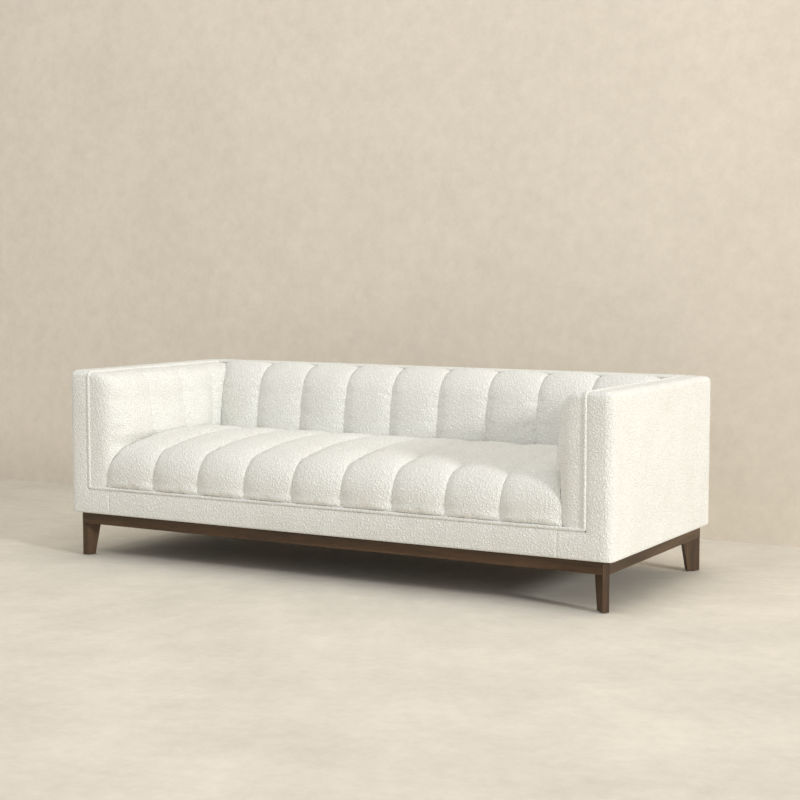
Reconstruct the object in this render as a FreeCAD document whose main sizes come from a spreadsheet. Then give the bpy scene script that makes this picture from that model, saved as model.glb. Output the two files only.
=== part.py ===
import FreeCAD, Part
import math
import os
import re

import Sketcher
from FreeCAD import Placement, Rotation, Vector

# Tuxedo sofa with a channel-tufted seat, back and arms on a walnut base.
# Origin on the floor under the middle of the sofa, +X to the viewer's right, +Y to the back, +Z up.
# Lengths in millimetres, angles in degrees.
SIZES = [
    ("overall_width", 2235, "outside of one arm to the outside of the other"),
    ("overall_depth", 930, "front of the border to the outside back"),
    ("overall_height", 711, "floor to the rim"),
    ("base_height", 170, "floor to the underside of the upholstery"),
    ("border", 92, "width of the plain border round the channelled panels"),
    ("cover", 12, "outside covers with their padding"),
    ("edge_round", 30, "upright outer corners"),
    ("rim_round", 20, "outer edge of the rim"),
    ("hem_fold", 5, "slope where the outside covers turn under"),
    ("side_seam", 100, "inside of an arm's border to the seam in the front rail's cover"),
    ("clearance", 0.3, "between soft pieces"),
    ("welt_diameter", 10, "self-covered welt cord"),
    ("welt_sink", 3, "welt below the face of the border"),
    ("welt_bend", 18, "bend of the welt at the top of an arm's front"),
        ("channels", 9, "channels across the seat and across the back"),
    ("seat_tuck", 8, "seat's end channels pressed in by the arm pads"),
    ("seat_crown", 13, "rise of a seat channel over its seams"),
    ("seat_cover", 24, "seat cover with its filling, at a seam"),
    ("seat_setback", 14, "seams of the seat front behind the border"),
    ("seat_nose", 63, "deck to the start of the roll over the seat front"),
    ("seat_roll", 100, "radius of the roll over the seat front"),
    ("seat_rise", 12, "slope of the seat behind its roll"),
    ("seat_fall", 10, "slope of the seat down to the back"),
    ("back_pad", 136, "back border to the back's seams at the seat"),
    ("back_tuck", 22, "back's end channels tucked in beside the arm pads"),
    ("back_crown", 15, "rise of a back channel over its seams"),
    ("back_cover", 24, "back cover with its filling, at a seam"),
    ("back_lean", 12, "lean of the back below its roll"),
    ("back_sweep", 900, "radius of the bend into the lean"),
    ("back_drop", 13, "upper ends of the back's seams below the rim"),
    ("arm_channels", 4, "channels along each arm"),
    ("arm_pad", 110.5, "arm border to the crests of the arm's channels"),
    ("arm_lead", 37, "extra width of an arm's front channel, which takes in its roll"),
    ("arm_crown", 12, "rise of an arm channel over its seams"),
    ("arm_cover", 17, "arm cover with its filling, at a seam"),
    ("arm_setback", 2, "arm pad behind the front of the border"),
    ("arm_drop", 6, "arm pad below the rim"),
    ("panel", 4, "board inside each arm, and the webbing and cloth behind the back"),
    ("web", 2, "thickness of the webbing and of the back's cloth"),
    ("strap", 60, "width of a webbing strap"),
    ("cross_straps", 4, "straps from side to side under the seat"),
    ("cross_pitch", 190, "one cross strap to the next"),
    ("deck_pad", 7, "felt over the webbing"),
    ("board", 25, "arm and back boards"),
    ("seat_rail", 32, "front and rear seat rails"),
    ("brace", 38, "cross braces, back uprights and base stretchers"),
    ("brace_height", 60, "height of the cross braces"),
    ("brace_offset", 430, "middle of the sofa to a cross brace"),
    ("corner_block", 90, "leg of a corner block in plan"),
    ("block_height", 38, "corner blocks"),
    ("dust_cover", 1, "cloth under the frame"),
    ("arm_stile", 27, "middle of an arm's stile in front of the middle of the sofa"),
    ("tack_height", 330, "floor to the middle of the back's tack rail"),
    ("low_rail", 50, "height of the tack rail and of the back's bottom rail"),
    ("upright_offset", 345, "middle of the sofa to a back upright"),
    ("base_inset", 25, "base behind the upholstery"),
    ("apron_height", 45, "aprons and stretchers"),
    ("apron", 20, "thickness of the aprons"),
    ("leg_thickness", 24, "legs"),
    ("leg_top", 68, "width of a leg between the aprons"),
    ("leg_foot", 46, "width of a leg at its foot"),
    ("leg_round", 1.5, "upright edges of the outer end of a leg"),
    ("glide", 18, "diameter of a glide"),
    ("glide_height", 3, "thickness of a glide"),
    ("glue_block", 26, "blocks in the corners between the legs and the aprons"),
    ("bolt", 8, "bolts that hold the base"),
    ("bolt_head", 15, "their hexagonal heads, corner to corner"),
    ("head_height", 6, "thickness of their heads"),
    ("bolt_recess", 12, "depth of the square recess for a head"),
    ("bolt_grip", 40, "length of a bolt in its cross brace"),
    ("bolt_play", 0.2, "difference between a hole and its bolt or head"),
    ("bolt_spread", 300, "middle of the sofa to a bolt along its stretcher"),
]
ALIASES = {alias for alias, value, meaning in SIZES}

doc = FreeCAD.newDocument("TuxedoSofa")
sheet = doc.addObject("Spreadsheet::Sheet", "Sizes")
for row, (alias, value, meaning) in enumerate(SIZES, start=1):
    sheet.set(f"A{row}", str(value))
    sheet.setAlias(f"A{row}", alias)
    sheet.set(f"B{row}", meaning)
doc.recompute()

# Planes that several pieces share
SIDE = "(overall_width / 2)"
FRONT = "(-overall_depth / 2)"
REAR = "(overall_depth / 2)"
FRAME_SIDE = f"({SIDE} - cover)"
FRAME_FRONT = f"({FRONT} + cover)"
FRAME_REAR = f"({REAR} - cover)"
FRAME_BOTTOM = "(base_height + dust_cover)"
FRAME_TOP = "(overall_height - cover)"
ARM_LINE = f"({SIDE} - border)"
ARM_BOARDS = f"({ARM_LINE} + panel)"
BACK_LINE = f"({REAR} - border)"
BACK_BOARDS = f"({BACK_LINE} + panel)"
DECK = "(base_height + border)"
FELT = f"({DECK} - deck_pad)"
RAIL_TOP = f"({FELT} - 2 * web)"

# The channelled panels end against the welt, which lies against the border and the deck
WELT_ROOM = "(welt_diameter + 2 * clearance)"
PAD_SIDE = f"({ARM_LINE} - {WELT_ROOM})"
PAD_REAR = f"({BACK_LINE} - {WELT_ROOM})"
PAD_BOTTOM = f"({DECK} + {WELT_ROOM})"
ARM_CREST = f"({ARM_LINE} - arm_pad)"
SEAT_HALF = f"({ARM_CREST} - clearance)"
SEAT_SEAM = f"({FRONT} + seat_setback)"
BACK_SEAM = f"({BACK_LINE} - back_pad)"
BACK_END = "(overall_height - back_drop)"

nodes = []


def bound(expression):
    """The expression with each size pointed at the sheet."""
    return re.sub(r"[a-z][a-z_]+", lambda word: f"Sizes.{word.group()}" if word.group() in ALIASES else word.group(),
                  expression)


def number(expression):
    return float(sheet.evalExpression(bound(expression)))


def keep(piece, name):
    """A finished sub-part, under the name of its file."""
    piece.Label = name
    nodes.append(piece)
    return piece


def place(piece, x, y, z, turn=0):
    piece.Placement = Placement(Vector(), Rotation(Vector(0, 0, 1), turn))
    for axis, expression in zip("xyz", (x, y, z)):
        piece.setExpression(f".Placement.Base.{axis}", bound(expression))


def mirrored(name, source):
    """The same piece on the other side of the sofa."""
    mirror = doc.addObject("Part::Mirroring", name)
    mirror.Source = source
    mirror.Normal = Vector(1, 0, 0)
    return keep(mirror, name)


def pair(name, build):
    """A right-hand piece and its left-hand mirror."""
    right = keep(build(f"{name}_right"), f"{name}_right")
    mirrored(f"{name}_left", right)


def box(name, x, y, z):
    """A box between two expressions along each axis."""
    block = doc.addObject("Part::Box", name)
    for side, (low, high) in zip(("Length", "Width", "Height"), (x, y, z)):
        block.setExpression(side, bound(f"({high}) - ({low})"))
    place(block, x[0], y[0], z[0])
    return block


def rod(name, x, y, z, diameter):
    cylinder = doc.addObject("Part::Cylinder", name)
    cylinder.setExpression("Radius", bound(f"({diameter}) / 2"))
    cylinder.setExpression("Height", bound(f"({z[1]}) - ({z[0]})"))
    place(cylinder, x, y, z[0])
    return cylinder


def wedge(name, corner, toward, leg, z):
    """A triangular block with its right angle at a corner and its legs toward two directions."""
    prism = doc.addObject("Part::Wedge", name)
    for side in ("Xmin", "Ymin", "Zmin", "X2min", "X2max", "Z2min"):
        setattr(prism, side, 0)
    for side in ("Xmax", "Ymax"):
        prism.setExpression(side, bound(leg))
    for side in ("Zmax", "Z2max"):
        prism.setExpression(side, bound(f"{z[1]} - {z[0]}"))
    start = (toward[0], 0) if toward[0] == toward[1] else (0, toward[1])
    place(prism, corner[0], corner[1], z[0], math.degrees(math.atan2(start[1], start[0])))
    return prism


def group(name, pieces):
    """Like pieces in one sub-part, as separate solids."""
    compound = doc.addObject("Part::Compound", name)
    compound.Links = pieces
    return keep(compound, name)


def new_body(name):
    return doc.addObject("PartDesign::Body", name)


def new_sketch(body, name, role, offset="0", aside="0"):
    """A sketch on one of the body's own planes, moved along its normal and along its first axis."""
    sketch = body.newObject("Sketcher::SketchObject", name)
    plane = next(feature for feature in body.Origin.OriginFeatures if feature.Role == role)
    sketch.AttachmentSupport = [(plane, "")]
    sketch.MapMode = "FlatFace"
    sketch.setExpression(".AttachmentOffset.Base.x", bound(aside))
    sketch.setExpression(".AttachmentOffset.Base.z", bound(offset))
    return sketch


def arc_between(start, end, radius, turn):
    """An arc of less than a half circle; turn is 1 where it bears left and -1 where it bears right."""
    chord = end - start
    reach = math.sqrt(radius ** 2 - (chord.Length / 2) ** 2)
    centre = (start + end) / 2 + Vector(-chord.y, chord.x, 0).normalize() * reach * turn
    first, last = (start, end) if turn > 0 else (end, start)
    low = math.atan2(first.y - centre.y, first.x - centre.x)
    high = math.atan2(last.y - centre.y, last.x - centre.x)
    if high < low:
        high += 2 * math.pi
    return Part.ArcOfCircle(Part.Circle(centre, Vector(0, 0, 1), radius), low, high)


def fix(sketch, kind, value, *target):
    """A dimension that follows the sheet."""
    index = sketch.addConstraint(Sketcher.Constraint(kind, *target, number(value)))
    sketch.setExpression(f"Constraints[{index}]", bound(value))


def draw(sketch, points, arcs=None, closed=True):
    """Lines through points, with arcs in place of some: first point, radius and turn of each."""
    arcs = arcs or {}
    corners = [Vector(number(u), number(v), 0) for u, v in points]
    ends = []
    for index in range(len(points) if closed else len(points) - 1):
        start, end = corners[index], corners[(index + 1) % len(points)]
        if index in arcs:
            radius, turn = arcs[index]
            segment = sketch.addGeometry(arc_between(start, end, number(radius), turn), False)
            ends.append((segment, 1, 2) if turn > 0 else (segment, 2, 1))
        else:
            segment = sketch.addGeometry(Part.LineSegment(start, end), False)
            ends.append((segment, 1, 2))
    for index, (u, v) in enumerate(points):
        segment, vertex = ends[index][:2] if index < len(ends) else (ends[-1][0], ends[-1][2])
        fix(sketch, "DistanceX", u, -1, 1, segment, vertex)
        fix(sketch, "DistanceY", v, -1, 1, segment, vertex)
    for index in range(len(ends) if closed else len(ends) - 1):
        (segment, start, end), (following, first, last) = ends[index], ends[(index + 1) % len(ends)]
        sketch.addConstraint(Sketcher.Constraint("Coincident", segment, end, following, first))
    for index, (radius, turn) in arcs.items():
        fix(sketch, "Radius", radius, ends[index][0])


def draw_circle(sketch, u, v, diameter):
    circle = Part.Circle(Vector(number(u), number(v), 0), Vector(0, 0, 1), number(diameter) / 2)
    index = sketch.addGeometry(circle, False)
    fix(sketch, "DistanceX", u, -1, 1, index, 3)
    fix(sketch, "DistanceY", v, -1, 1, index, 3)
    fix(sketch, "Diameter", diameter, index)


def rectangle(u, v):
    return [(u[0], v[0]), (u[1], v[0]), (u[1], v[1]), (u[0], v[1])]


def about(middle, width):
    """The two sides of a width about its middle."""
    return (f"{middle} - ({width}) / 2", f"{middle} + ({width}) / 2")


def square(u, v, side):
    return rectangle(about(u, side), about(v, side))


def pad(body, name, sketch, length, midplane=False):
    feature = body.newObject("PartDesign::Pad", name)
    feature.Profile = sketch
    feature.Midplane = midplane
    feature.setExpression("Length", bound(length))
    return feature


def pocket(body, name, sketch, depth, along=True):
    """A cut from its sketch's plane, along its normal or against it."""
    doc.recompute()
    before = body.Shape.Volume
    feature = body.newObject("PartDesign::Pocket", name)
    feature.Profile = sketch
    feature.Reversed = along
    feature.setExpression("Length", bound(depth))
    doc.recompute()
    if body.Shape.Volume >= before:
        raise ValueError(f"{name} cuts nothing")
    return feature


def round_edges(body, name, radius, chosen, form="Fillet"):
    """A fillet or chamfer on the edges whose ends and middle all pass a test."""
    doc.recompute()
    base = body.Tip
    names = []
    for index, edge in enumerate(base.Shape.Edges, start=1):
        middle = edge.valueAt((edge.FirstParameter + edge.LastParameter) / 2)
        if all(chosen(point) for point in [vertex.Point for vertex in edge.Vertexes] + [middle]):
            names.append(f"Edge{index}")
    feature = body.newObject(f"PartDesign::{form}", name)
    feature.Base = (base, names)
    feature.setExpression("Radius" if form == "Fillet" else "Size", bound(radius))
    doc.recompute()
    return feature


def near(value, expression):
    return abs(value - number(expression)) < 0.01


def bulge(width, crown):
    """Radius of the arc that rises by its crown over a width."""
    return f"((({width}) / 2) ^ 2 + ({crown}) ^ 2) / (2 * ({crown}))"


# Walnut base: the legs are fins on the diagonals, whose outer ends are the cut corners of the base

BASE_SIDE = f"({SIDE} - base_inset)"
BASE_REAR = f"({REAR} - base_inset)"
CORNER_CUT = "(leg_thickness / sqrt(2))"
APRON_BOTTOM = "(base_height - apron_height)"
CORNERS = {"front_left": (-1, -1), "front_right": (1, -1), "rear_right": (1, 1), "rear_left": (-1, 1)}


def leg(name, side, end):
    body = new_body(name)
    outline = new_sketch(body, f"{name}_outline", "XZ_Plane")
    draw(outline, [
        ("0", "glide_height"),
        ("leg_foot", "glide_height"),
        ("leg_top", APRON_BOTTOM),
        ("leg_top", "base_height"),
        ("0", "base_height"),
    ])
    pad(body, f"{name}_plank", outline, "leg_thickness", midplane=True)
    round_edges(body, f"{name}_edges", "leg_round",
                lambda point: near(point.x, "0") and near(abs(point.y), "leg_thickness / 2"))
    inset = f"{CORNER_CUT} / 2"
    place(body, f"{side} * ({BASE_SIDE} - {inset})", f"{end} * ({BASE_REAR} - {inset})", "0",
          math.degrees(math.atan2(-end, -side)))
    return keep(body, name)


def apron(name, along_x, side):
    """A rail whose ends are mitred to the broad faces of two legs."""
    body = new_body(name)
    outline = new_sketch(body, f"{name}_plan", "XY_Plane", APRON_BOTTOM)
    half, face = (BASE_SIDE, BASE_REAR) if along_x else (BASE_REAR, BASE_SIDE)
    outer, inner = f"({half} - {CORNER_CUT})", f"({half} - {CORNER_CUT} - apron)"
    points = [
        (f"-{outer}", f"{side} * {face}"),
        (outer, f"{side} * {face}"),
        (inner, f"{side} * ({face} - apron)"),
        (f"-{inner}", f"{side} * ({face} - apron)"),
    ]
    draw(outline, points if along_x else [(v, u) for u, v in points])
    pad(body, f"{name}_rail", outline, "apron_height")
    return keep(body, name)


glides, glue_blocks = [], []
for corner, (side, end) in CORNERS.items():
    leg(f"leg_{corner}", side, end)
    middle = f"({CORNER_CUT} / 2 + leg_foot / 2 / sqrt(2))"
    foot = f"{side} * ({BASE_SIDE} - {middle})", f"{end} * ({BASE_REAR} - {middle})"
    glides.append(rod(f"glide_{corner}", *foot, ("0", "glide_height"), "glide"))
    along, across = f"({CORNER_CUT} + apron + glue_block)", "apron"
    for inset, toward in (((along, across), (side, -end)), ((across, along), (-side, end))):
        spot = (f"{side} * ({BASE_SIDE} - {inset[0]})", f"{end} * ({BASE_REAR} - {inset[1]})")
        glue_blocks.append(wedge(f"glue_block_{corner}_{len(glue_blocks)}", spot, toward, "glue_block",
                                 (APRON_BOTTOM, "base_height")))
group("glides", glides)
group("leg_glue_blocks", glue_blocks)
apron("apron_front", True, -1)
apron("apron_rear", True, 1)
apron("apron_left", False, -1)
apron("apron_right", False, 1)


def base_stretcher(name):
    body = new_body(name)
    plan = new_sketch(body, f"{name}_plan", "XY_Plane", APRON_BOTTOM)
    inner = f"({BASE_REAR} - apron)"
    draw(plan, rectangle(about("brace_offset", "brace"), (f"-{inner}", inner)))
    pad(body, f"{name}_rail", plan, "apron_height")
    bores = new_sketch(body, f"{name}_bores_plan", "XY_Plane", APRON_BOTTOM)
    recesses = new_sketch(body, f"{name}_recesses_plan", "XY_Plane", APRON_BOTTOM)
    for end in (-1, 1):
        draw_circle(bores, "brace_offset", f"{end} * bolt_spread", "bolt + bolt_play")
        draw(recesses, square("brace_offset", f"{end} * bolt_spread", "bolt_head + bolt_play"))
    pocket(body, f"{name}_bores", bores, "apron_height")
    pocket(body, f"{name}_recesses", recesses, "bolt_recess")
    return body


def cross_brace(name):
    body = new_body(name)
    plan = new_sketch(body, f"{name}_plan", "XY_Plane", FRAME_BOTTOM)
    draw(plan, rectangle(about("brace_offset", "brace"), (f"{FRAME_FRONT} + seat_rail", BACK_BOARDS)))
    pad(body, f"{name}_rail", plan, "brace_height")
    bores = new_sketch(body, f"{name}_bores_plan", "XY_Plane", FRAME_BOTTOM)
    for end in (-1, 1):
        draw_circle(bores, "brace_offset", f"{end} * bolt_spread", "bolt + bolt_play")
    pocket(body, f"{name}_bores", bores, "bolt_grip + bolt_play")
    return body


def base_bolt(name, side, end):
    seat = f"({APRON_BOTTOM} + bolt_recess)"
    x, y = f"{side} * brace_offset", f"{end} * bolt_spread"
    head = doc.addObject("Part::Prism", f"{name}_head")
    head.Polygon = 6
    head.setExpression("Circumradius", bound("bolt_head / 2"))
    head.setExpression("Height", bound("head_height"))
    place(head, x, y, f"{seat} - head_height")
    bolt = doc.addObject("Part::Fuse", name)
    bolt.Base = head
    bolt.Tool = rod(f"{name}_shank", x, y, (f"{seat} - head_height", f"{FRAME_BOTTOM} + bolt_grip"), "bolt")
    return bolt


pair("base_stretcher", base_stretcher)
pair("cross_brace", cross_brace)
group("base_bolts", [base_bolt(f"bolt_{corner}", *CORNERS[corner]) for corner in CORNERS])

# Hardwood frame

dust_cover = new_body("dust_cover")
dust_plan = new_sketch(dust_cover, "dust_cover_plan", "XY_Plane", "base_height")
draw(dust_plan, rectangle((f"-{FRAME_SIDE} + clearance", f"{FRAME_SIDE} - clearance"),
                          (f"{FRAME_FRONT} + clearance", f"{FRAME_REAR} - clearance")))
for side, end in CORNERS.values():
    draw(dust_plan, square(f"{side} * brace_offset", f"{end} * bolt_spread", "bolt + bolt_play"))
pad(dust_cover, "dust_cover_cloth", dust_plan, "dust_cover")
keep(dust_cover, "dust_cover")

ACROSS = (f"-{ARM_BOARDS}", ARM_BOARDS)
INNER_RAIL = (BACK_BOARDS, f"{BACK_BOARDS} + seat_rail")
LOW_RAIL_TOP = f"({FRAME_BOTTOM} + low_rail)"
ARM_BOX = (ARM_BOARDS, FRAME_SIDE)
RAIL_BACK = f"({FRAME_FRONT} + seat_rail)"
UNDER_TOP = f"({FRAME_TOP} - board)"


def across(name, y, z):
    return keep(box(name, ACROSS, y, z), name)


across("front_seat_rail", (FRAME_FRONT, RAIL_BACK), (FRAME_BOTTOM, RAIL_TOP))
across("rear_seat_rail", INNER_RAIL, (FRAME_BOTTOM, RAIL_TOP))
across("back_top_rail", (BACK_BOARDS, FRAME_REAR), (UNDER_TOP, FRAME_TOP))
across("back_bottom_rail", (f"{FRAME_REAR} - board", FRAME_REAR), (FRAME_BOTTOM, LOW_RAIL_TOP))
across("back_tack_rail", INNER_RAIL, about("tack_height", "low_rail"))
pair("back_upright", lambda name: box(
    name, about("upright_offset", "brace"), (INNER_RAIL[1], FRAME_REAR), (LOW_RAIL_TOP, UNDER_TOP)))
pair("side_seat_rail", lambda name: box(
    name, (f"{ARM_BOARDS} - board", ARM_BOARDS), (RAIL_BACK, BACK_BOARDS),
    (FRAME_BOTTOM, f"{RAIL_TOP} + web")))
pair("arm_front_post", lambda name: box(
    name, ARM_BOX, (FRAME_FRONT, f"{FRAME_FRONT} + board"), (FRAME_BOTTOM, UNDER_TOP)))
pair("arm_top_rail", lambda name: box(name, ARM_BOX, (FRAME_FRONT, BACK_BOARDS), (UNDER_TOP, FRAME_TOP)))
pair("arm_bottom_rail", lambda name: box(
    name, ARM_BOX, (f"{FRAME_FRONT} + board", BACK_BOARDS), (FRAME_BOTTOM, f"{FRAME_BOTTOM} + board")))
pair("arm_stile", lambda name: box(
    name, ARM_BOX, about("-arm_stile", "board"), (f"{FRAME_BOTTOM} + board", UNDER_TOP)))
pair("rear_corner_post", lambda name: box(
    name, ARM_BOX, (BACK_BOARDS, FRAME_REAR), (FRAME_BOTTOM, FRAME_TOP)))
pair("arm_inner_panel", lambda name: box(
    name, (ARM_LINE, ARM_BOARDS), (FRAME_FRONT, BACK_BOARDS), (FELT, FRAME_TOP)))
group("corner_blocks", [
    wedge(f"corner_block_{corner}", (f"{side} * ({ARM_BOARDS} - board)", BACK_BOARDS if end > 0 else RAIL_BACK),
          (-side, -end), "corner_block", (FRAME_BOTTOM, f"({FRAME_BOTTOM} + block_height)"))
    for corner, (side, end) in CORNERS.items()
])

# Webbing and felt

COUNT = round(number("channels"))
CROSS_COUNT = round(number("cross_straps"))
SEAT_PITCH = f"(2 * ({SEAT_HALF} + seat_tuck) / channels)"


def channel_middle(index):
    return f"({index} - (channels - 1) / 2) * {SEAT_PITCH}"


CROSS_MIDDLE = f"(({RAIL_BACK} + {BACK_BOARDS}) / 2)"
group("seat_webbing", [
    box(f"seat_strap_{index + 1}", about(channel_middle(index), "strap"),
        (f"{FRAME_FRONT} + board / 2", f"{BACK_BOARDS} + board / 2"), (RAIL_TOP, f"{RAIL_TOP} + web"))
    for index in range(COUNT)
])
group("seat_cross_webbing", [
    box(f"cross_strap_{index + 1}", ACROSS,
        about(f"{CROSS_MIDDLE} + ({index} - (cross_straps - 1) / 2) * cross_pitch", "strap"),
        (f"{RAIL_TOP} + web", FELT))
    for index in range(CROSS_COUNT)
])
group("back_webbing", [
    box(f"back_strap_{index + 1}", about(channel_middle(index), "strap"),
        (f"{BACK_BOARDS} - web", BACK_BOARDS), ("tack_height - low_rail / 2", FRAME_TOP))
    for index in range(COUNT)
])
INSIDE = (f"-{ARM_LINE} + clearance", f"{ARM_LINE} - clearance")
FELT_DEPTH = (f"{RAIL_BACK} + clearance", f"{BACK_LINE} - clearance")
CLOTH_HEIGHT = (f"{DECK} + clearance", f"{FRAME_TOP} - clearance")
keep(box("deck_felt", INSIDE, FELT_DEPTH, (FELT, DECK)), "deck_felt")
keep(box("back_cloth", INSIDE, (BACK_LINE, f"{BACK_BOARDS} - web"), CLOTH_HEIGHT), "back_cloth")

# Seat: the channels run up the front, roll over the nose, rise and fall away to the back

NOSE = f"({DECK} + seat_nose)"
ROLL_CENTRE = f"({SEAT_SEAM} + seat_roll)"
SEAT_STOP = f"({BACK_SEAM} - back_crown - clearance - seat_crown * sin(seat_fall))"
ARCH_RUN = f"({SEAT_STOP} - {ROLL_CENTRE} + seat_roll * sin(seat_rise))"
SEAT_ARCH = f"({ARCH_RUN} / (sin(seat_rise) + sin(seat_fall)))"
ARCH_CENTRE_Z = f"({NOSE} + (seat_roll - {SEAT_ARCH}) * cos(seat_rise))"


def seat_line(inset):
    """Points and arcs of the seat's section, a distance inside its seams."""
    roll, arch = f"(seat_roll - {inset})", f"({SEAT_ARCH} - {inset})"
    points = [
        (f"{SEAT_SEAM} + {inset}", NOSE),
        (f"{ROLL_CENTRE} - {roll} * sin(seat_rise)", f"{NOSE} + {roll} * cos(seat_rise)"),
        (f"{SEAT_STOP} - {inset} * sin(seat_fall)", f"{ARCH_CENTRE_Z} + {arch} * cos(seat_fall)"),
    ]
    return points, (roll, arch)


def channel_profile(sketch, seam, pitch, tuck, crown, thickness):
    """Scallops from arm to arm in front of a seam line, with a flat rear."""
    seams = [f"-({SEAT_HALF})"]
    seams += [f"(-({SEAT_HALF} + {tuck}) + {index} * {pitch})" for index in range(1, COUNT)]
    seams += [SEAT_HALF]
    points = [(x, seam) for x in seams]
    points += [(SEAT_HALF, f"{seam} + {thickness}"), (f"-({SEAT_HALF})", f"{seam} + {thickness}")]
    arcs = {index: (bulge(pitch, crown), 1) for index in range(1, COUNT - 1)}
    arcs[0] = arcs[COUNT - 1] = (bulge(f"{pitch} - {tuck}", crown), 1)
    draw(sketch, points, arcs)


def channelled(name, profile, spine):
    """The profile carried along a spine in the middle plane of the sofa."""
    sweep = profile.getParentGeoFeatureGroup().newObject("PartDesign::AdditivePipe", f"{name}_channels")
    sweep.Profile = profile
    sweep.Spine = (spine, [f"Edge{index + 1}" for index in range(spine.GeometryCount)])
    return sweep


seat_cover = new_body("seat_cover")
seat_profile = new_sketch(seat_cover, "seat_scallops", "XY_Plane", PAD_BOTTOM)
channel_profile(seat_profile, SEAT_SEAM, SEAT_PITCH, "seat_tuck", "seat_crown", "seat_cover")
seat_spine = new_sketch(seat_cover, "seat_section", "YZ_Plane")
line, radii = seat_line("0")
draw(seat_spine, [(SEAT_SEAM, PAD_BOTTOM)] + line, {1: (radii[0], -1), 2: (radii[1], -1)}, closed=False)
channelled("seat", seat_profile, seat_spine)
keep(seat_cover, "seat_cover")

seat_foam = new_body("seat_foam")
foam_section = new_sketch(seat_foam, "seat_foam_section", "YZ_Plane")
line, radii = seat_line("(seat_cover + clearance)")
toe = f"({FRONT} + welt_sink + welt_diameter + clearance)"
draw(foam_section, [(toe, f"{DECK} + clearance"), (toe, f"{PAD_BOTTOM} - clearance"),
                    (line[0][0], f"{PAD_BOTTOM} - clearance")] + line + [(line[2][0], f"{DECK} + clearance")],
     {3: (radii[0], -1), 4: (radii[1], -1)})
pad(seat_foam, "seat_foam_block", foam_section, f"2 * {SEAT_HALF}", midplane=True)
keep(seat_foam, "seat_foam")

# Back: the channels lean away above the seat and roll over to the border

BACK_ROLL = f"(({PAD_REAR} - {BACK_SEAM} - back_sweep * (1 - cos(back_lean))) / cos(back_lean))"
BACK_BEND = f"({BACK_END} - {BACK_ROLL} * (1 - sin(back_lean)) - back_sweep * sin(back_lean))"
BACK_PITCH = f"(2 * ({SEAT_HALF} + back_tuck) / channels)"


def back_line(inset):
    """Points and arcs of the back's section, a distance behind its seams."""
    sweep, roll = f"(back_sweep - {inset})", f"({BACK_ROLL} - {inset})"
    points = [
        (f"{BACK_SEAM} + {inset}", BACK_BEND),
        (f"{BACK_SEAM} + back_sweep - {sweep} * cos(back_lean)", f"{BACK_BEND} + {sweep} * sin(back_lean)"),
        (PAD_REAR, f"{BACK_END} - {inset}"),
    ]
    return points, (sweep, roll)


back_cover = new_body("back_cover")
back_profile = new_sketch(back_cover, "back_scallops", "XY_Plane", f"{DECK} + clearance")
channel_profile(back_profile, BACK_SEAM, BACK_PITCH, "back_tuck", "back_crown", "back_cover")
back_spine = new_sketch(back_cover, "back_section", "YZ_Plane")
line, radii = back_line("0")
draw(back_spine, [(BACK_SEAM, f"{DECK} + clearance")] + line, {1: (radii[0], -1), 2: (radii[1], -1)},
     closed=False)
channelled("back", back_profile, back_spine)
keep(back_cover, "back_cover")

back_foam = new_body("back_foam")
foam_section = new_sketch(back_foam, "back_foam_section", "YZ_Plane")
line, radii = back_line("(back_cover + clearance)")
rear = f"({BACK_LINE} - clearance)"
outline = [(line[0][0], f"{DECK} + clearance")] + line + [(rear, line[2][1]), (rear, f"{DECK} + clearance")]
draw(foam_section, outline, {1: (radii[0], -1), 2: (radii[1], -1)})
pad(back_foam, "back_foam_block", foam_section, f"2 * {SEAT_HALF}", midplane=True)
keep(back_foam, "back_foam")

# Arm pads: upright channels that roll over the top, the first one round the front

ARM_FRONT = f"({FRONT} + arm_setback)"
ARM_ROUND = f"({PAD_SIDE} - {ARM_CREST})"
ARM_BEND = f"(overall_height - arm_drop - {ARM_ROUND})"
ARM_DEPTH = "(arm_crown + arm_cover)"
ARM_PITCH = f"(({PAD_REAR} - {ARM_FRONT}) / arm_channels)"
ARM_TURN = f"({ARM_FRONT} + {ARM_ROUND})"
ARM_COUNT = round(number("arm_channels"))


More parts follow.
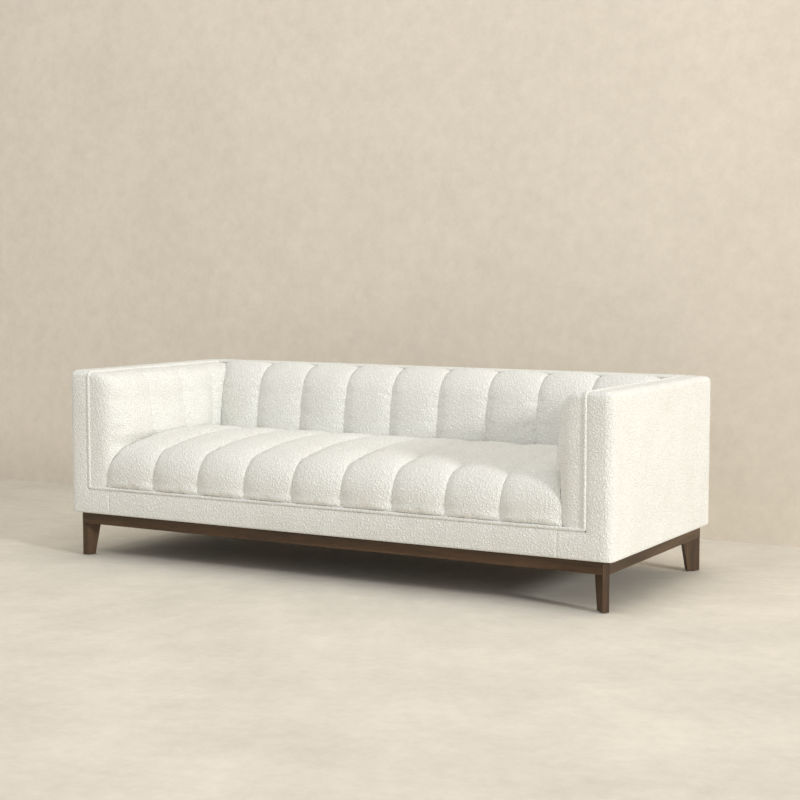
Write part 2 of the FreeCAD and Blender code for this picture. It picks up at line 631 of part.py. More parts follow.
def arm_inner_cover(name):
    """Channels that roll over the top of the arm, and a wadded corner that rolls over the front as well."""
    body = new_body(name)
    plan = new_sketch(body, f"{name}_plan", "XY_Plane", ARM_BEND, PAD_SIDE)
    crest, valley, inner = f"-{ARM_ROUND}", f"-({ARM_ROUND} - arm_crown)", f"-({ARM_ROUND} - {ARM_DEPTH})"
    seams = [f"({ARM_FRONT} + arm_lead + {index} * {ARM_PITCH})" for index in range(1, ARM_COUNT)]
    seams.append(PAD_REAR)
    channels = [(crest, ARM_TURN)] + [(valley, seam) for seam in seams]
    channels += [(inner, PAD_REAR), (inner, ARM_TURN)]
    arcs = {0: (bulge(f"2 * ({seams[0]} - {ARM_TURN})", "arm_crown"), -1)}
    for index in range(1, len(seams)):
        arcs[index] = (bulge(f"{seams[index]} - {seams[index - 1]}", "arm_crown"), -1)
    draw(plan, channels, arcs)
    upright = pad(body, f"{name}_channels", plan, f"{ARM_BEND} - {PAD_BOTTOM}")
    upright.Reversed = True
    roll = body.newObject("PartDesign::Revolution", f"{name}_roll")
    roll.Profile = plan
    roll.ReferenceAxis = (plan, ["V_Axis"])
    roll.Angle = 90
    front = new_sketch(body, f"{name}_front_plan", "XY_Plane", PAD_BOTTOM, PAD_SIDE)
    draw(front, [("0", ARM_FRONT), (crest, ARM_TURN), (inner, ARM_TURN), ("0", f"{ARM_FRONT} + {ARM_DEPTH}")],
         {0: (ARM_ROUND, -1), 2: (f"{ARM_ROUND} - {ARM_DEPTH}", 1)})
    pad(body, f"{name}_front", front, f"{ARM_BEND} - {PAD_BOTTOM}")
    corner = new_sketch(body, f"{name}_corner_plan", "XY_Plane", ARM_BEND, PAD_SIDE)
    draw(corner, [("0", ARM_FRONT), (crest, ARM_TURN), ("0", ARM_TURN)], {0: (ARM_ROUND, -1)})
    pad(body, f"{name}_corner", corner, ARM_ROUND)
    top = f"({ARM_BEND} + {ARM_ROUND})"
    over = new_sketch(body, f"{name}_top_roll", "XZ_Plane", f"-{ARM_FRONT}", PAD_SIDE)
    draw(over, [(crest, ARM_BEND), (crest, top), ("0", top)], {2: (ARM_ROUND, 1)})
    pocket(body, f"{name}_top_cut", over, ARM_ROUND, along=False)
    bend = new_sketch(body, f"{name}_welt_bend", "YZ_Plane", f"{PAD_SIDE} - {ARM_ROUND}")
    draw(bend, [(ARM_FRONT, f"{top} - welt_bend"), (f"{ARM_FRONT} + welt_bend", top), (ARM_FRONT, top)],
         {0: ("welt_bend", -1)})
    pocket(body, f"{name}_bend_cut", bend, ARM_ROUND)
    return body


def arm_foam(name):
    """Foam behind the arm's cover, as far forward as the wadded corner leaves it."""
    body = new_body(name)
    reach = f"({ARM_ROUND} - {ARM_DEPTH} - clearance)"
    outer = "(welt_diameter + clearance)"
    rear = f"({BACK_LINE} - clearance)"
    front = f"({ARM_TURN} - {reach})"
    plan = new_sketch(body, f"{name}_plan", "XY_Plane", f"{DECK} + clearance", PAD_SIDE)
    draw(plan, [("0", front), (f"-{reach}", ARM_TURN), (f"-{reach}", rear), (outer, rear), (outer, front)],
         {0: (reach, -1)})
    pad(body, f"{name}_block", plan, f"{ARM_BEND} - {DECK} - 2 * clearance")
    section = new_sketch(body, f"{name}_section", "XZ_Plane", f"-({ARM_TURN} + clearance)", PAD_SIDE)
    low = f"({ARM_BEND} - clearance)"
    draw(section, [(f"-{reach}", low), (f"-{reach}", ARM_BEND), ("0", f"{ARM_BEND} + {reach}"),
                   (outer, f"{ARM_BEND} + {reach}"), (outer, low)], {1: (reach, -1)})
    roll = pad(body, f"{name}_roll", section, f"{rear} - {ARM_TURN} - clearance")
    roll.Reversed = True
    return body


pair("arm_inner_cover", arm_inner_cover)
pair("arm_foam", arm_foam)

# Outside covers: the border round the channelled panels, drawn over the frame

SEAM = f"({ARM_LINE} - side_seam)"


def outermost(point):
    """True on the front, the back, the side and the two upright corners between them."""
    return near(point.y, FRONT) or near(point.y, REAR) or point.x > number(f"{SIDE} - edge_round")


def arm_outer_cover(name):
    """One cover round the arm's front, side, back and top, with the return under its pad."""
    body = new_body(name)
    outline = new_sketch(body, f"{name}_outline", "XY_Plane", "base_height")
    draw(outline, [
        (ARM_LINE, FRONT),
        (f"{SIDE} - edge_round", FRONT),
        (SIDE, f"{FRONT} + edge_round"),
        (SIDE, f"{REAR} - edge_round"),
        (f"{SIDE} - edge_round", REAR),
        (ARM_LINE, REAR),
    ], {1: ("edge_round", 1), 3: ("edge_round", 1)})
    pad(body, f"{name}_arm", outline, "overall_height - base_height")
    front_return = new_sketch(body, f"{name}_return_plan", "XY_Plane", "base_height")
    draw(front_return, rectangle((SEAM, ARM_LINE), (FRONT, RAIL_BACK)))
    pad(body, f"{name}_return", front_return, "border")
    round_edges(body, f"{name}_rim", "rim_round",
                lambda point: near(point.z, "overall_height") and outermost(point))
    round_edges(body, f"{name}_hem", "hem_fold",
                lambda point: near(point.z, "base_height") and outermost(point), "Chamfer")
    arm_void = new_sketch(body, f"{name}_void_plan", "XY_Plane", "base_height")
    draw(arm_void, rectangle((ARM_LINE, FRAME_SIDE), (FRAME_FRONT, FRAME_REAR)))
    pocket(body, f"{name}_void", arm_void, f"{FRAME_TOP} - base_height")
    rail_void = new_sketch(body, f"{name}_rail_void_plan", "XY_Plane", "base_height")
    draw(rail_void, rectangle((SEAM, ARM_LINE), (FRAME_FRONT, RAIL_BACK)))
    pocket(body, f"{name}_rail_void", rail_void, f"{FELT} - base_height")
    return body


pair("arm_outer_cover", arm_outer_cover)

front_rail_cover = new_body("front_rail_cover")
section = new_sketch(front_rail_cover, "front_rail_section", "YZ_Plane")
draw(section, [
    (f"{FRONT} + hem_fold", "base_height"),
    (FRAME_FRONT, "base_height"),
    (FRAME_FRONT, FELT),
    (RAIL_BACK, FELT),
    (RAIL_BACK, DECK),
    (f"{FRONT}", DECK),
    (FRONT, "base_height + hem_fold"),
])
pad(front_rail_cover, "front_rail_border", section, f"2 * {SEAM}", midplane=True)
keep(front_rail_cover, "front_rail_cover")

outside_back_cover = new_body("outside_back_cover")
section = new_sketch(outside_back_cover, "outside_back_section", "YZ_Plane")
draw(section, [
    (f"{REAR} - hem_fold", "base_height"),
    (REAR, "base_height + hem_fold"),
    (REAR, "overall_height - rim_round"),
    (f"{REAR} - rim_round", "overall_height"),
    (BACK_LINE, "overall_height"),
    (BACK_LINE, FRAME_TOP),
    (FRAME_REAR, FRAME_TOP),
    (FRAME_REAR, "base_height"),
], {2: ("rim_round", 1)})
pad(outside_back_cover, "outside_back_border", section, f"2 * {ARM_LINE}", midplane=True)
keep(outside_back_cover, "outside_back_cover")


# Welt: one closed loop over the arms and the back, down the arms' fronts and along the front rail

def closed_rod(corners, radius):
    """A round rod along straight runs, which are mitred at a corner or turn it in a quarter bend."""
    line = []
    for index, (corner, bend) in enumerate(corners):
        before, after = corners[index - 1][0], corners[(index + 1) % len(corners)]
        back, ahead = (before - corner).normalize(), (after[0] - corner).normalize()
        start, end = corner + ahead * bend, after[0] - ahead * after[1]
        if bend:
            middle = corner + (back + ahead) * bend * (1 - math.sqrt(0.5))
            line.append(Part.Arc(corner + back * bend, middle, start).toShape())
        line.append(Part.LineSegment(start, end).toShape())
    first = line[0]
    halfway = first.valueAt((first.FirstParameter + first.LastParameter) / 2)
    start, end = (vertex.Point for vertex in first.Vertexes)
    halves = [Part.LineSegment(halfway, end).toShape()], [Part.LineSegment(start, halfway).toShape()]
    sweep = Part.BRepOffsetAPI.MakePipeShell(Part.Wire(halves[0] + line[1:] + halves[1]))
    sweep.setTransitionMode(1)
    sweep.add(Part.Wire(Part.makeCircle(radius, halfway, end - start)))
    sweep.build()
    sweep.makeSolid()
    return sweep.shape()


WELT = "(welt_diameter / 2)"
welt_side = number(f"{PAD_SIDE} + clearance + {WELT}")
welt_low = number(f"{DECK} + clearance + {WELT}")
welt_top = number(f"overall_height - welt_sink - {WELT}")
welt_front = number(f"{FRONT} + welt_sink + {WELT}")
welt_rear = number(f"{PAD_REAR} + clearance + {WELT}")
welt_bend = number("welt_bend")
welt_cord = doc.addObject("Part::Feature", "welt_cord")
welt_cord.Shape = closed_rod([
    (Vector(-welt_side, welt_front, welt_low), 0),
    (Vector(welt_side, welt_front, welt_low), 0),
    (Vector(welt_side, welt_front, welt_top), welt_bend),
    (Vector(welt_side, welt_rear, welt_top), 0),
    (Vector(-welt_side, welt_rear, welt_top), 0),
    (Vector(-welt_side, welt_front, welt_top), welt_bend),
], number(WELT))
welt_cord.Placement = Placement()
keep(welt_cord, "welt_cord")

doc.recompute()
for item in doc.Objects:
    faults = {"Invalid", "Error"} & set(item.State)
    if faults:
        raise ValueError(f"{item.Name} is {faults}")
for node in nodes:
    if node.Shape.isNull() or not node.Shape.isValid() or not node.Shape.Solids:
        raise ValueError(f"{node.Label} has no valid solid")

os.makedirs("parts", exist_ok=True)
for node in nodes:
    node.Shape.exportStep(f"parts/{node.Label}.step")
print(len(nodes), "sub-parts")
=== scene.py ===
import math

import bpy
import numpy as np
from bpy.props import FloatProperty, FloatVectorProperty, PointerProperty
from mathutils import Euler, Matrix, Vector, noise


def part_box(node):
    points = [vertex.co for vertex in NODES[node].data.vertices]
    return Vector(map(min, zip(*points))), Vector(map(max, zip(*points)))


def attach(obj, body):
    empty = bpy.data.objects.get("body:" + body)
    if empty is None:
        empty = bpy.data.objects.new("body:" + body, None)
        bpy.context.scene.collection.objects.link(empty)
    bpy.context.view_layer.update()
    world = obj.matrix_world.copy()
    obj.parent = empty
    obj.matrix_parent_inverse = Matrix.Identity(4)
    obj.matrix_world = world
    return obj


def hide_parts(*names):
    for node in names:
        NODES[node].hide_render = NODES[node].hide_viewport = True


bl_info = {
    "name": "Channelled Tuxedo Sofa",
    "version": (1, 0, 0),
    "blender": (4, 5, 0),
    "location": "View3D > Sidebar > Sofa",
    "description": "Upholstery, welt and finishes of a channelled tuxedo sofa, built over its frame",
    "category": "Object",
}

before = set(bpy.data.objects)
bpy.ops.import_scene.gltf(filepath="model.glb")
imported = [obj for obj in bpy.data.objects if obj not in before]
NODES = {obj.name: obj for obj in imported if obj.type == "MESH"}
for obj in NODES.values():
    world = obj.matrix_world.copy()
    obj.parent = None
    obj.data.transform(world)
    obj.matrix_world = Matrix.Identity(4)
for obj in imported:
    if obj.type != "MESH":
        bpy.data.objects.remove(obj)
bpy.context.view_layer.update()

# Planes of the upholstery, in metres: the right-hand ones, as the sofa is the same on both sides
LOW_COVER, HIGH_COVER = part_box("arm_outer_cover_right")
LOW_PAD, HIGH_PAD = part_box("arm_inner_cover_right")
SIDE, REAR, RIM = HIGH_COVER
FRONT, HEM = LOW_COVER.y, LOW_COVER.z
ARM_LINE, BACK_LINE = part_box("outside_back_cover")[1].x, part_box("outside_back_cover")[0].y
RAIL_SEAM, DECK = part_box("front_rail_cover")[1].x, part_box("front_rail_cover")[1].z
RAIL_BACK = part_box("front_rail_cover")[1].y
ARM_CREST, PAD_SIDE, PAD_FRONT, PAD_REAR = LOW_PAD.x, HIGH_PAD.x, LOW_PAD.y, HIGH_PAD.y
PAD_BOTTOM, ARM_TOP = LOW_PAD.z, HIGH_PAD.z
SEAT_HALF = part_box("seat_cover")[1].x
WELT_LOW, WELT_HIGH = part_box("welt_cord")
WELT_RADIUS = 0.005
WELT_PROUD = 0.0045
WELT_LIFT = 0.004
WELT_FUZZ = 0.001
WELT_WAVE = 0.0016
WELT_CORNER = 0.0062
GAP = 0.0003
CHANNELS = 9
COLUMNS = 20
PLAN_FULLNESS = 3.8
ROLL_FULLNESS = 3.0
ROW_STEP = 0.0085
EDGE_STEPS = (0.0, 0.0015, 0.004, 0.0075, 0.012, 0.018)
ARM_EDGE_STEPS = (0.0, 0.002, 0.005, 0.009, 0.014, 0.020)
ROUND_ROWS = 18
HELD_ROWS = 10
SEAM_CREASE = 0.85
SIDE_ROUND = 0.030
RIM_ROUND = 0.020
BORDER_FINE = 0.09
HEM_ROLL = 0.012
RAIL_WALL = 0.0066
BORDER_WIDTH = 0.092
WELT_PULL = 0.0032
SEAT_REACH = 0.0045
ARM_REACH = 0.003
PUCKER = 0.0011


# Values that a user may change


def length_value(name, description, default):
    return FloatProperty(name=name, description=description, default=default, unit="LENGTH")


def angle_value(name, description, degrees):
    return FloatProperty(
        name=name, description=description, default=math.radians(degrees), subtype="ANGLE")


def colour_value(name, description, default):
    return FloatVectorProperty(
        name=name, description=description, default=default, subtype="COLOR", min=0, max=1)


class SofaSizes(bpy.types.PropertyGroup):
    seat_crown: length_value("Seat crown", "Rise of a seat channel over its seams", 0.0165)
    seat_setback: length_value("Seat setback", "Seams of the seat front behind the border", 0.014)
    seat_nose: length_value("Seat nose", "Deck to the start of the roll over the seat front", 0.063)
    seat_roll: length_value("Seat roll", "Radius of the roll over the seat front", 0.100)
    seat_rise: angle_value("Seat rise", "Slope of the seat behind its roll", 12)
    seat_fall: angle_value("Seat fall", "Slope of the seat down to the back", 10)
    seat_tuck: length_value("Seat tuck", "End channels pressed in by the arm pads", 0.008)
    back_crown: length_value("Back crown", "Rise of a back channel over its seams", 0.0170)
    back_pad: length_value("Back pad", "Back border to the back's seams at the seat", 0.136)
    back_sweep: length_value("Back sweep", "Radius of the bend into the lean", 0.9)
    back_lean: angle_value("Back lean", "Lean of the back below its roll", 12)
    back_drop: length_value("Back drop", "Upper ends of the back's seams below the rim", 0.010)
    back_tuck: length_value("Back tuck", "Back's end channels tucked in beside the arms", 0.022)
    arm_crown: length_value("Arm crown", "Rise of an arm channel over its seams", 0.0115)
    arm_bulge: length_value("Arm bulge", "Fullness of the arm pads over the seat", 0.020)
    arm_lead: length_value("Arm lead", "Extra width of an arm's front channel", 0.037)
    border_crown: length_value("Border crown", "Padding under the middle of the plain border", 0.0024)
    welt_bend: length_value("Welt bend", "Bend of the welt at the top of an arm's front", 0.018)
    wall: length_value("Cover", "Outside covers with their padding", 0.0114)


class SofaColours(bpy.types.PropertyGroup):
    boucle: colour_value("Boucle", "Tops of the loops", (0.95, 0.955, 0.92))
    # Painted shade: the colour of the hollows between the loops, darker than the yarn because shade falls
    # there.
    boucle_painted_shade: colour_value("Boucle depths", "Between the loops", (0.80, 0.80, 0.76))
    walnut: colour_value("Walnut", "Pale bands of the grain", (0.118, 0.062, 0.025))
    walnut_dark: colour_value("Dark walnut", "Dark bands of the grain", (0.040, 0.020, 0.007))
    floor: colour_value("Floor", "Pale floor", (0.795, 0.748, 0.66))
    backdrop: colour_value("Backdrop", "Pale backdrop", (0.805, 0.74, 0.64))


def sizes():
    return bpy.context.scene.sofa_sizes


def colours():
    return bpy.context.scene.sofa_colours


# Finishes


def new_finish(name, roughness, sheen=0.0, specular=0.3, metallic=0.0):
    """A node material with its even values on the shader itself."""
    finish = bpy.data.materials.new(name)
    finish.use_nodes = True
    shader = finish.node_tree.nodes["Principled BSDF"]
    shader.inputs["Roughness"].default_value = roughness
    shader.inputs["Sheen Weight"].default_value = sheen
    shader.inputs["Sheen Roughness"].default_value = 0.5
    shader.inputs["Specular IOR Level"].default_value = specular
    shader.inputs["Metallic"].default_value = metallic
    return finish, shader


def node(finish, kind, links=(), **values):
    """A node with its values set and its inputs linked: (input, from node, output)."""
    made = finish.node_tree.nodes.new(kind)
    for name, value in values.items():
        if hasattr(made, name):
            setattr(made, name, value)
        else:
            made.inputs[name.replace("_", " ")].default_value = value
    for socket, source, output in links:
        finish.node_tree.links.new(source.outputs[output], made.inputs[socket])
    return made


def link(finish, source, output, target, socket):
    finish.node_tree.links.new(source.outputs[output], target.inputs[socket])


def object_space(finish, scale=(1, 1, 1), turn=(0, 0, 0)):
    coordinate = node(finish, "ShaderNodeTexCoord")
    return node(finish, "ShaderNodeMapping", [("Vector", coordinate, "Object")], Scale=scale,
        Rotation=turn)


def ramp(finish, source, output, low, high, stops=(0.0, 1.0)):
    made = node(finish, "ShaderNodeValToRGB", [("Fac", source, output)])
    for element, stop, colour in zip(made.color_ramp.elements, stops, (low, high)):
        element.position = stop
        element.color = (*colour, 1)
    return made


def noise_node(finish, place, **values):
    return node(finish, "ShaderNodeTexNoise", [("Vector", place, "Vector")], **values)


def tint(finish, shader, base, shade, share=1.0):
    """Colours a finish by one node, darkened by another."""
    mixed = node(finish, "ShaderNodeMix", [(6, base, "Color"), (7, shade, "Color")], data_type="RGBA",
        blend_type="MULTIPLY")
    mixed.inputs["Factor"].default_value = share
    link(finish, mixed, 2, shader, "Base Color")


def relief(finish, shader, source, output, strength, depth):
    bump = node(finish, "ShaderNodeBump", [("Height", source, output)], Strength=strength, Distance=depth)
    link(finish, bump, "Normal", shader, "Normal")


def uneven_shine(finish, shader, source, low, high):
    dull = node(finish, "ShaderNodeMapRange", [("Value", source, "Fac")])
    dull.inputs["To Min"].default_value = low
    dull.inputs["To Max"].default_value = high
    link(finish, dull, "Result", shader, "Roughness")


def boucle_finish():
    """Looped yarn: uneven curls that nearly touch, with fuzz over them and slight patches of tone; the
    hollows between the curls are darkened as painted shade.
    """
    if "looped_yarn" in bpy.data.materials:
        return bpy.data.materials["looped_yarn"]
    finish, shader = new_finish("looped_yarn", 0.95, sheen=0.22, specular=0.12)
    place = object_space(finish)
    drift = noise_node(finish, place, Scale=62.0, Detail=2.0, Roughness=0.55)
    centred = node(finish, "ShaderNodeVectorMath", [(0, drift, "Color")], operation="SUBTRACT")
    centred.inputs[1].default_value = (0.5, 0.5, 0.5)
    moved = node(finish, "ShaderNodeVectorMath", [(0, centred, "Vector"), (2, place, "Vector")],
        operation="MULTIPLY_ADD")
    moved.inputs[1].default_value = (0.011, 0.011, 0.011)
    curls = node(finish, "ShaderNodeTexVoronoi", [("Vector", moved, "Vector")], feature="SMOOTH_F1",
        Scale=128.0, Smoothness=0.25, Randomness=1.0)
    loops = node(finish, "ShaderNodeTexVoronoi", [("Vector", moved, "Vector")], feature="F1", Scale=280.0,
        Randomness=1.0)
    fuzz = noise_node(finish, place, Scale=900.0, Detail=3.0, Roughness=0.7)
    curl_height = node(finish, "ShaderNodeMapRange", [("Value", curls, "Distance")],
        interpolation_type="SMOOTHSTEP")
    for socket, value in (("From Min", 0.05), ("From Max", 0.62), ("To Min", 1.0), ("To Max", 0.0)):
        curl_height.inputs[socket].default_value = value
    loop_height = node(finish, "ShaderNodeMath", [(0, loops, "Distance")], operation="MULTIPLY_ADD")
    loop_height.inputs[1].default_value = -0.42
    loop_height.inputs[2].default_value = 0.22
    height = node(finish, "ShaderNodeMath", [(0, curl_height, "Result"), (1, loop_height, "Value")],
        operation="ADD")
    rough = node(finish, "ShaderNodeMath", [(0, fuzz, "Fac"), (2, height, "Value")],
        operation="MULTIPLY_ADD")
    rough.inputs[1].default_value = 0.16
    patches = noise_node(finish, place, Scale=7.0, Detail=3.0, Roughness=0.6)
    # Painted shade: the yarn is darkened in the hollows between the curls, following the curls' height.
    tone = ramp(finish, height, "Value", tuple(colours().boucle_painted_shade), tuple(colours().boucle),
        (0.0, 0.75))
    shade = ramp(finish, patches, "Fac", (0.955, 0.95, 0.94), (1, 1, 1), (0.3, 0.62))
    tint(finish, shader, tone, shade)
    relief(finish, shader, rough, "Value", 1.0, 0.0023)
    return finish


def wood_finish(name, pale, dark, along, roughness=0.42, spread=1.0):
    """Straight grain along one axis, with pores and a slow change of tone."""
    if name in bpy.data.materials:
        return bpy.data.materials[name]
    finish, shader = new_finish(name, roughness, specular=0.4)
    stretch = [38.0, 38.0, 38.0]
    stretch["xyz".index(along)] = 1.6
    grain_space = object_space(finish, tuple(stretch), (0.06, 0.05, 0.04))
    bands = noise_node(finish, grain_space, Scale=1.0, Detail=6.0, Roughness=0.62, Distortion=0.9)
    pores = [620.0, 620.0, 620.0]
    pores["xyz".index(along)] = 26.0
    pore_space = object_space(finish, tuple(pores))
    pore = noise_node(finish, pore_space, Scale=1.0, Detail=2.0, Roughness=0.5)
    tone = ramp(finish, bands, "Fac", dark, pale, (0.5 - 0.17 * spread, 0.5 + 0.2 * spread))
    specks = ramp(finish, pore, "Fac", (0.62, 0.58, 0.55), (1, 1, 1), (0.36, 0.5))
    tint(finish, shader, tone, specks, 0.8)
    uneven_shine(finish, shader, bands, roughness + 0.1, roughness - 0.06)
    relief(finish, shader, pore, "Fac", 0.25, 0.0004)
    return finish


def woven_finish(name, warp, weft, pitch):
    """A plain weave of two yarns, at its pitch in metres."""
    if name in bpy.data.materials:
        return bpy.data.materials[name]
    finish, shader = new_finish(name, 0.85, sheen=0.1, specular=0.15)
    place = object_space(finish, turn=(0, 0, math.radians(45)))
    check = node(finish, "ShaderNodeTexChecker", [("Vector", place, "Vector")], Scale=1 / pitch)
    check.inputs["Color1"].default_value = (*warp, 1)
    check.inputs["Color2"].default_value = (*weft, 1)
    wear = noise_node(finish, place, Scale=35.0, Detail=4.0)
    shade = ramp(finish, wear, "Fac", (0.82, 0.82, 0.82), (1, 1, 1), (0.3, 0.65))
    tint(finish, shader, check, shade)
    relief(finish, shader, check, "Fac", 0.4, pitch / 4)
    return finish


def moulded_finish(name, colour, roughness, metallic=0.0):
    """A hard finish with fine scuffs."""
    if name in bpy.data.materials:
        return bpy.data.materials[name]
    finish, shader = new_finish(name, roughness, specular=0.5, metallic=metallic)
    place = object_space(finish)
    scuff = noise_node(finish, place, Scale=240.0, Detail=5.0)
    tone = ramp(finish, scuff, "Fac", tuple(c * 0.82 for c in colour), colour, (0.35, 0.6))
    link(finish, tone, "Color", shader, "Base Color")
    uneven_shine(finish, shader, scuff, roughness + 0.15, roughness - 0.1)
    relief(finish, shader, scuff, "Fac", 0.15, 0.0003)
    return finish


# Tools that the pieces share


def active(piece):
    if bpy.context.mode != "OBJECT":
        bpy.ops.object.mode_set(mode="OBJECT")
    bpy.ops.object.select_all(action="DESELECT")
    piece.select_set(True)
    bpy.context.view_layer.objects.active = piece


def select_none(piece):
    active(piece)
    mesh = piece.data
    for group in (mesh.vertices, mesh.edges, mesh.polygons):
        group.foreach_set("select", [False] * len(group))
    return mesh


def edit(piece, kind, chosen, *steps):
    """Selects edges or faces by their place, and uses edit tools on them."""
    mesh = select_none(piece)
    bpy.context.tool_settings.mesh_select_mode = (False, kind == "EDGE", kind == "FACE")
    if kind == "EDGE":
        for edge in mesh.edges:
            edge.select = chosen(*(mesh.vertices[index].co for index in edge.vertices))
            for index in edge.vertices:
                mesh.vertices[index].select |= edge.select
    else:
        for face in mesh.polygons:
            face.select = chosen(face.center, face.normal)
    bpy.ops.object.mode_set(mode="EDIT")
    for step, options in steps:
        step(**options)
    bpy.ops.object.mode_set(mode="OBJECT")


def block(name, low, high):
    """A cube from its lowest to its highest corner, with its place in its mesh."""
    bpy.ops.object.select_all(action="DESELECT")
    low, high = Vector(low), Vector(high)
    bpy.ops.mesh.primitive_cube_add(size=1, location=(low + high) / 2)
    piece = bpy.context.object
    piece.name = piece.data.name = name
    piece.scale = high - low
    bpy.ops.object.transform_apply(location=True, rotation=True, scale=True)
    return piece


def slice_up(piece, *cuts):
    """Cuts across a piece at even steps, so that its faces can bend: (axis, from, to, step)."""
    active(piece)
    bpy.ops.object.mode_set(mode="EDIT")
    for axis, low, high, step in cuts:
        count = max(1, round((high - low) / step))
        for index in range(1, count):
            bpy.ops.mesh.select_all(action="SELECT")
            point, normal = [0, 0, 0], [0, 0, 0]
            point[axis], normal[axis] = low + (high - low) * index / count, 1
            bpy.ops.mesh.bisect(plane_co=point, plane_no=normal)
    bpy.ops.object.mode_set(mode="OBJECT")


def apply_modifier(piece, kind, **values):
    active(piece)
    modifier = piece.modifiers.new(kind.title(), kind)
    for name, value in values.items():
        setattr(modifier, name, value)
    bpy.ops.object.modifier_apply(modifier=modifier.name)


def points_of(piece):
    co = np.zeros(len(piece.data.vertices) * 3)
    piece.data.vertices.foreach_get("co", co)
    return co.reshape(-1, 3)


def set_points(piece, points):
    piece.data.vertices.foreach_set("co", np.asarray(points, dtype=np.float32).ravel())
    piece.data.update()


def normals_of(piece):
    normals = np.zeros(len(piece.data.vertices) * 3)
    piece.data.vertices.foreach_get("normal", normals)
    return normals.reshape(-1, 3)


def ripple(points, scale, seed):
    """Smooth noise from -1 to 1 at each point."""
    offset = Vector((seed * 7.31, seed * 3.17, seed * 5.71))
    scale = Vector(scale)
    return np.array([noise.noise(Vector(point) * scale + offset) for point in points])


def smooth(value):
    value = np.clip(value, 0, 1)
    return value * value * (3 - 2 * value)


def dress(piece, finish, slot, *replaced):
    """Gives a piece its finish, its body and the solids that it stands for."""
    active(piece)
    bpy.ops.object.shade_smooth_by_angle(angle=math.radians(50))
    piece.data.materials.clear()
    piece.data.materials.append(finish)
    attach(piece, "root")
    if replaced:
        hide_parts(*replaced)
    return piece


def other_side(piece, name):
    """A copy on the left of the sofa, with its faces turned outwards again."""
    copy = piece.copy()
    copy.data = piece.data.copy()
    copy.name = copy.data.name = name
    bpy.context.scene.collection.objects.link(copy)
    copy.data.transform(Matrix.Diagonal((-1, 1, 1, 1)))
    copy.data.flip_normals()
    return copy


def new_object(name, data):
    made = bpy.data.objects.new(name, data)
    bpy.context.scene.collection.objects.link(made)
    return made


def edit_all(piece, *steps):
    """Uses edit tools on a whole piece."""
    active(piece)
    bpy.ops.object.mode_set(mode="EDIT")
    bpy.ops.mesh.select_all(action="SELECT")
    for step, options in steps:
        step(**options)
    bpy.ops.object.mode_set(mode="OBJECT")


def surface(name, grid):
    """A quilted face from rows of points; the rows run one way and the columns to their right."""
    rows, columns = grid.shape[:2]
    mesh = bpy.data.meshes.new(name)
    faces = [(r * columns + c, r * columns + c + 1, (r + 1) * columns + c + 1, (r + 1) * columns + c)
             for r in range(rows - 1) for c in range(columns - 1)]
    mesh.from_pydata(grid.reshape(-1, 3).tolist(), [], faces)
    return new_object(name, mesh)


def swell(piece, held, reach):
    """Fills the cover with air for a moment, held along its seams, and keeps the push within a reach."""
    rest = points_of(piece)
    group = piece.vertex_groups.new(name="held")
    group.add([int(index) for index in np.flatnonzero(held)], 1.0, "REPLACE")
    cloth = piece.modifiers.new("Cloth", "CLOTH")
    cloth.settings.quality = 4
    cloth.settings.mass = 0.35
    cloth.settings.tension_stiffness = 12
    cloth.settings.compression_stiffness = 12
    cloth.settings.shear_stiffness = 4
    cloth.settings.bending_stiffness = 0.6
    cloth.settings.vertex_group_mass = "held"
    cloth.settings.use_pressure = True
    cloth.settings.uniform_pressure_force = 4
    cloth.settings.shrink_min = -0.025
    cloth.settings.effector_weights.gravity = 0
    cloth.collision_settings.use_collision = False
    scene = bpy.context.scene
    for step in range(1, 21):
        scene.frame_set(step)
    filled = piece.evaluated_get(bpy.context.evaluated_depsgraph_get()).to_mesh()
    moved = np.zeros(len(filled.vertices) * 3)
    filled.vertices.foreach_get("co", moved)
    push = moved.reshape(-1, 3) - rest
    length = np.linalg.norm(push, axis=1, keepdims=True)
    push *= reach * np.tanh(length / reach) / np.maximum(length, 1e-9)
    piece.modifiers.remove(cloth)
    piece.vertex_groups.clear()
    scene.frame_set(1)
    set_points(piece, rest + push)


def close_pad(piece, axis, plane, foot=0.0):
    """Draws the pad's edge onto a plane and closes it there, and may set a smaller foot behind it."""
    edges = {}
    for face in piece.data.polygons:
        for key in face.edge_keys:
            edges[key] = edges.get(key, 0) + 1
    rim = {key for key, uses in edges.items() if uses == 1}
    mesh = select_none(piece)
    for edge in mesh.edges:
        if edge.key in rim:
            edge.select = True
            for index in edge.vertices:
                mesh.vertices[index].select = True
    bpy.context.tool_settings.mesh_select_mode = (False, True, False)
    count = len(mesh.vertices)
    bpy.ops.object.mode_set(mode="EDIT")
    bpy.ops.mesh.extrude_edges_move()
    bpy.ops.object.mode_set(mode="OBJECT")
    points = points_of(piece)
    points[count:, axis] = plane
    set_points(piece, points)
    bpy.ops.object.mode_set(mode="EDIT")
    bpy.ops.mesh.edge_face_add()
    if foot:
        low, high = points.min(axis=0), points.max(axis=0)
        centre = (low + high) / 2
        shrink = 1 - 0.05 / (high - low)
        centre[axis], shrink[axis] = plane, 1
        bpy.context.tool_settings.mesh_select_mode = (False, False, True)
        bpy.ops.mesh.extrude_region_move()
        bpy.ops.transform.resize(value=shrink, center_override=centre)
        move = [foot if i == axis else 0 for i in range(3)]
        bpy.ops.mesh.extrude_region_move(TRANSFORM_OT_translate={"value": move})
    bpy.ops.mesh.select_all(action="SELECT")
    bpy.ops.mesh.normals_make_consistent(inside=False)
    bpy.ops.object.mode_set(mode="OBJECT")


def scallop(share):
    """Height across a channel, 0 at its seams and 1 in its middle."""
    return np.maximum(0, 1 - np.abs(2 * share - 1) ** 2.3) ** 0.72


def channel_shares(start=0):
    """Places across one channel, from 0 to 1 and closer together at its seams."""
    return 0.5 - 0.5 * np.cos(np.pi * np.arange(start, COLUMNS) / COLUMNS)


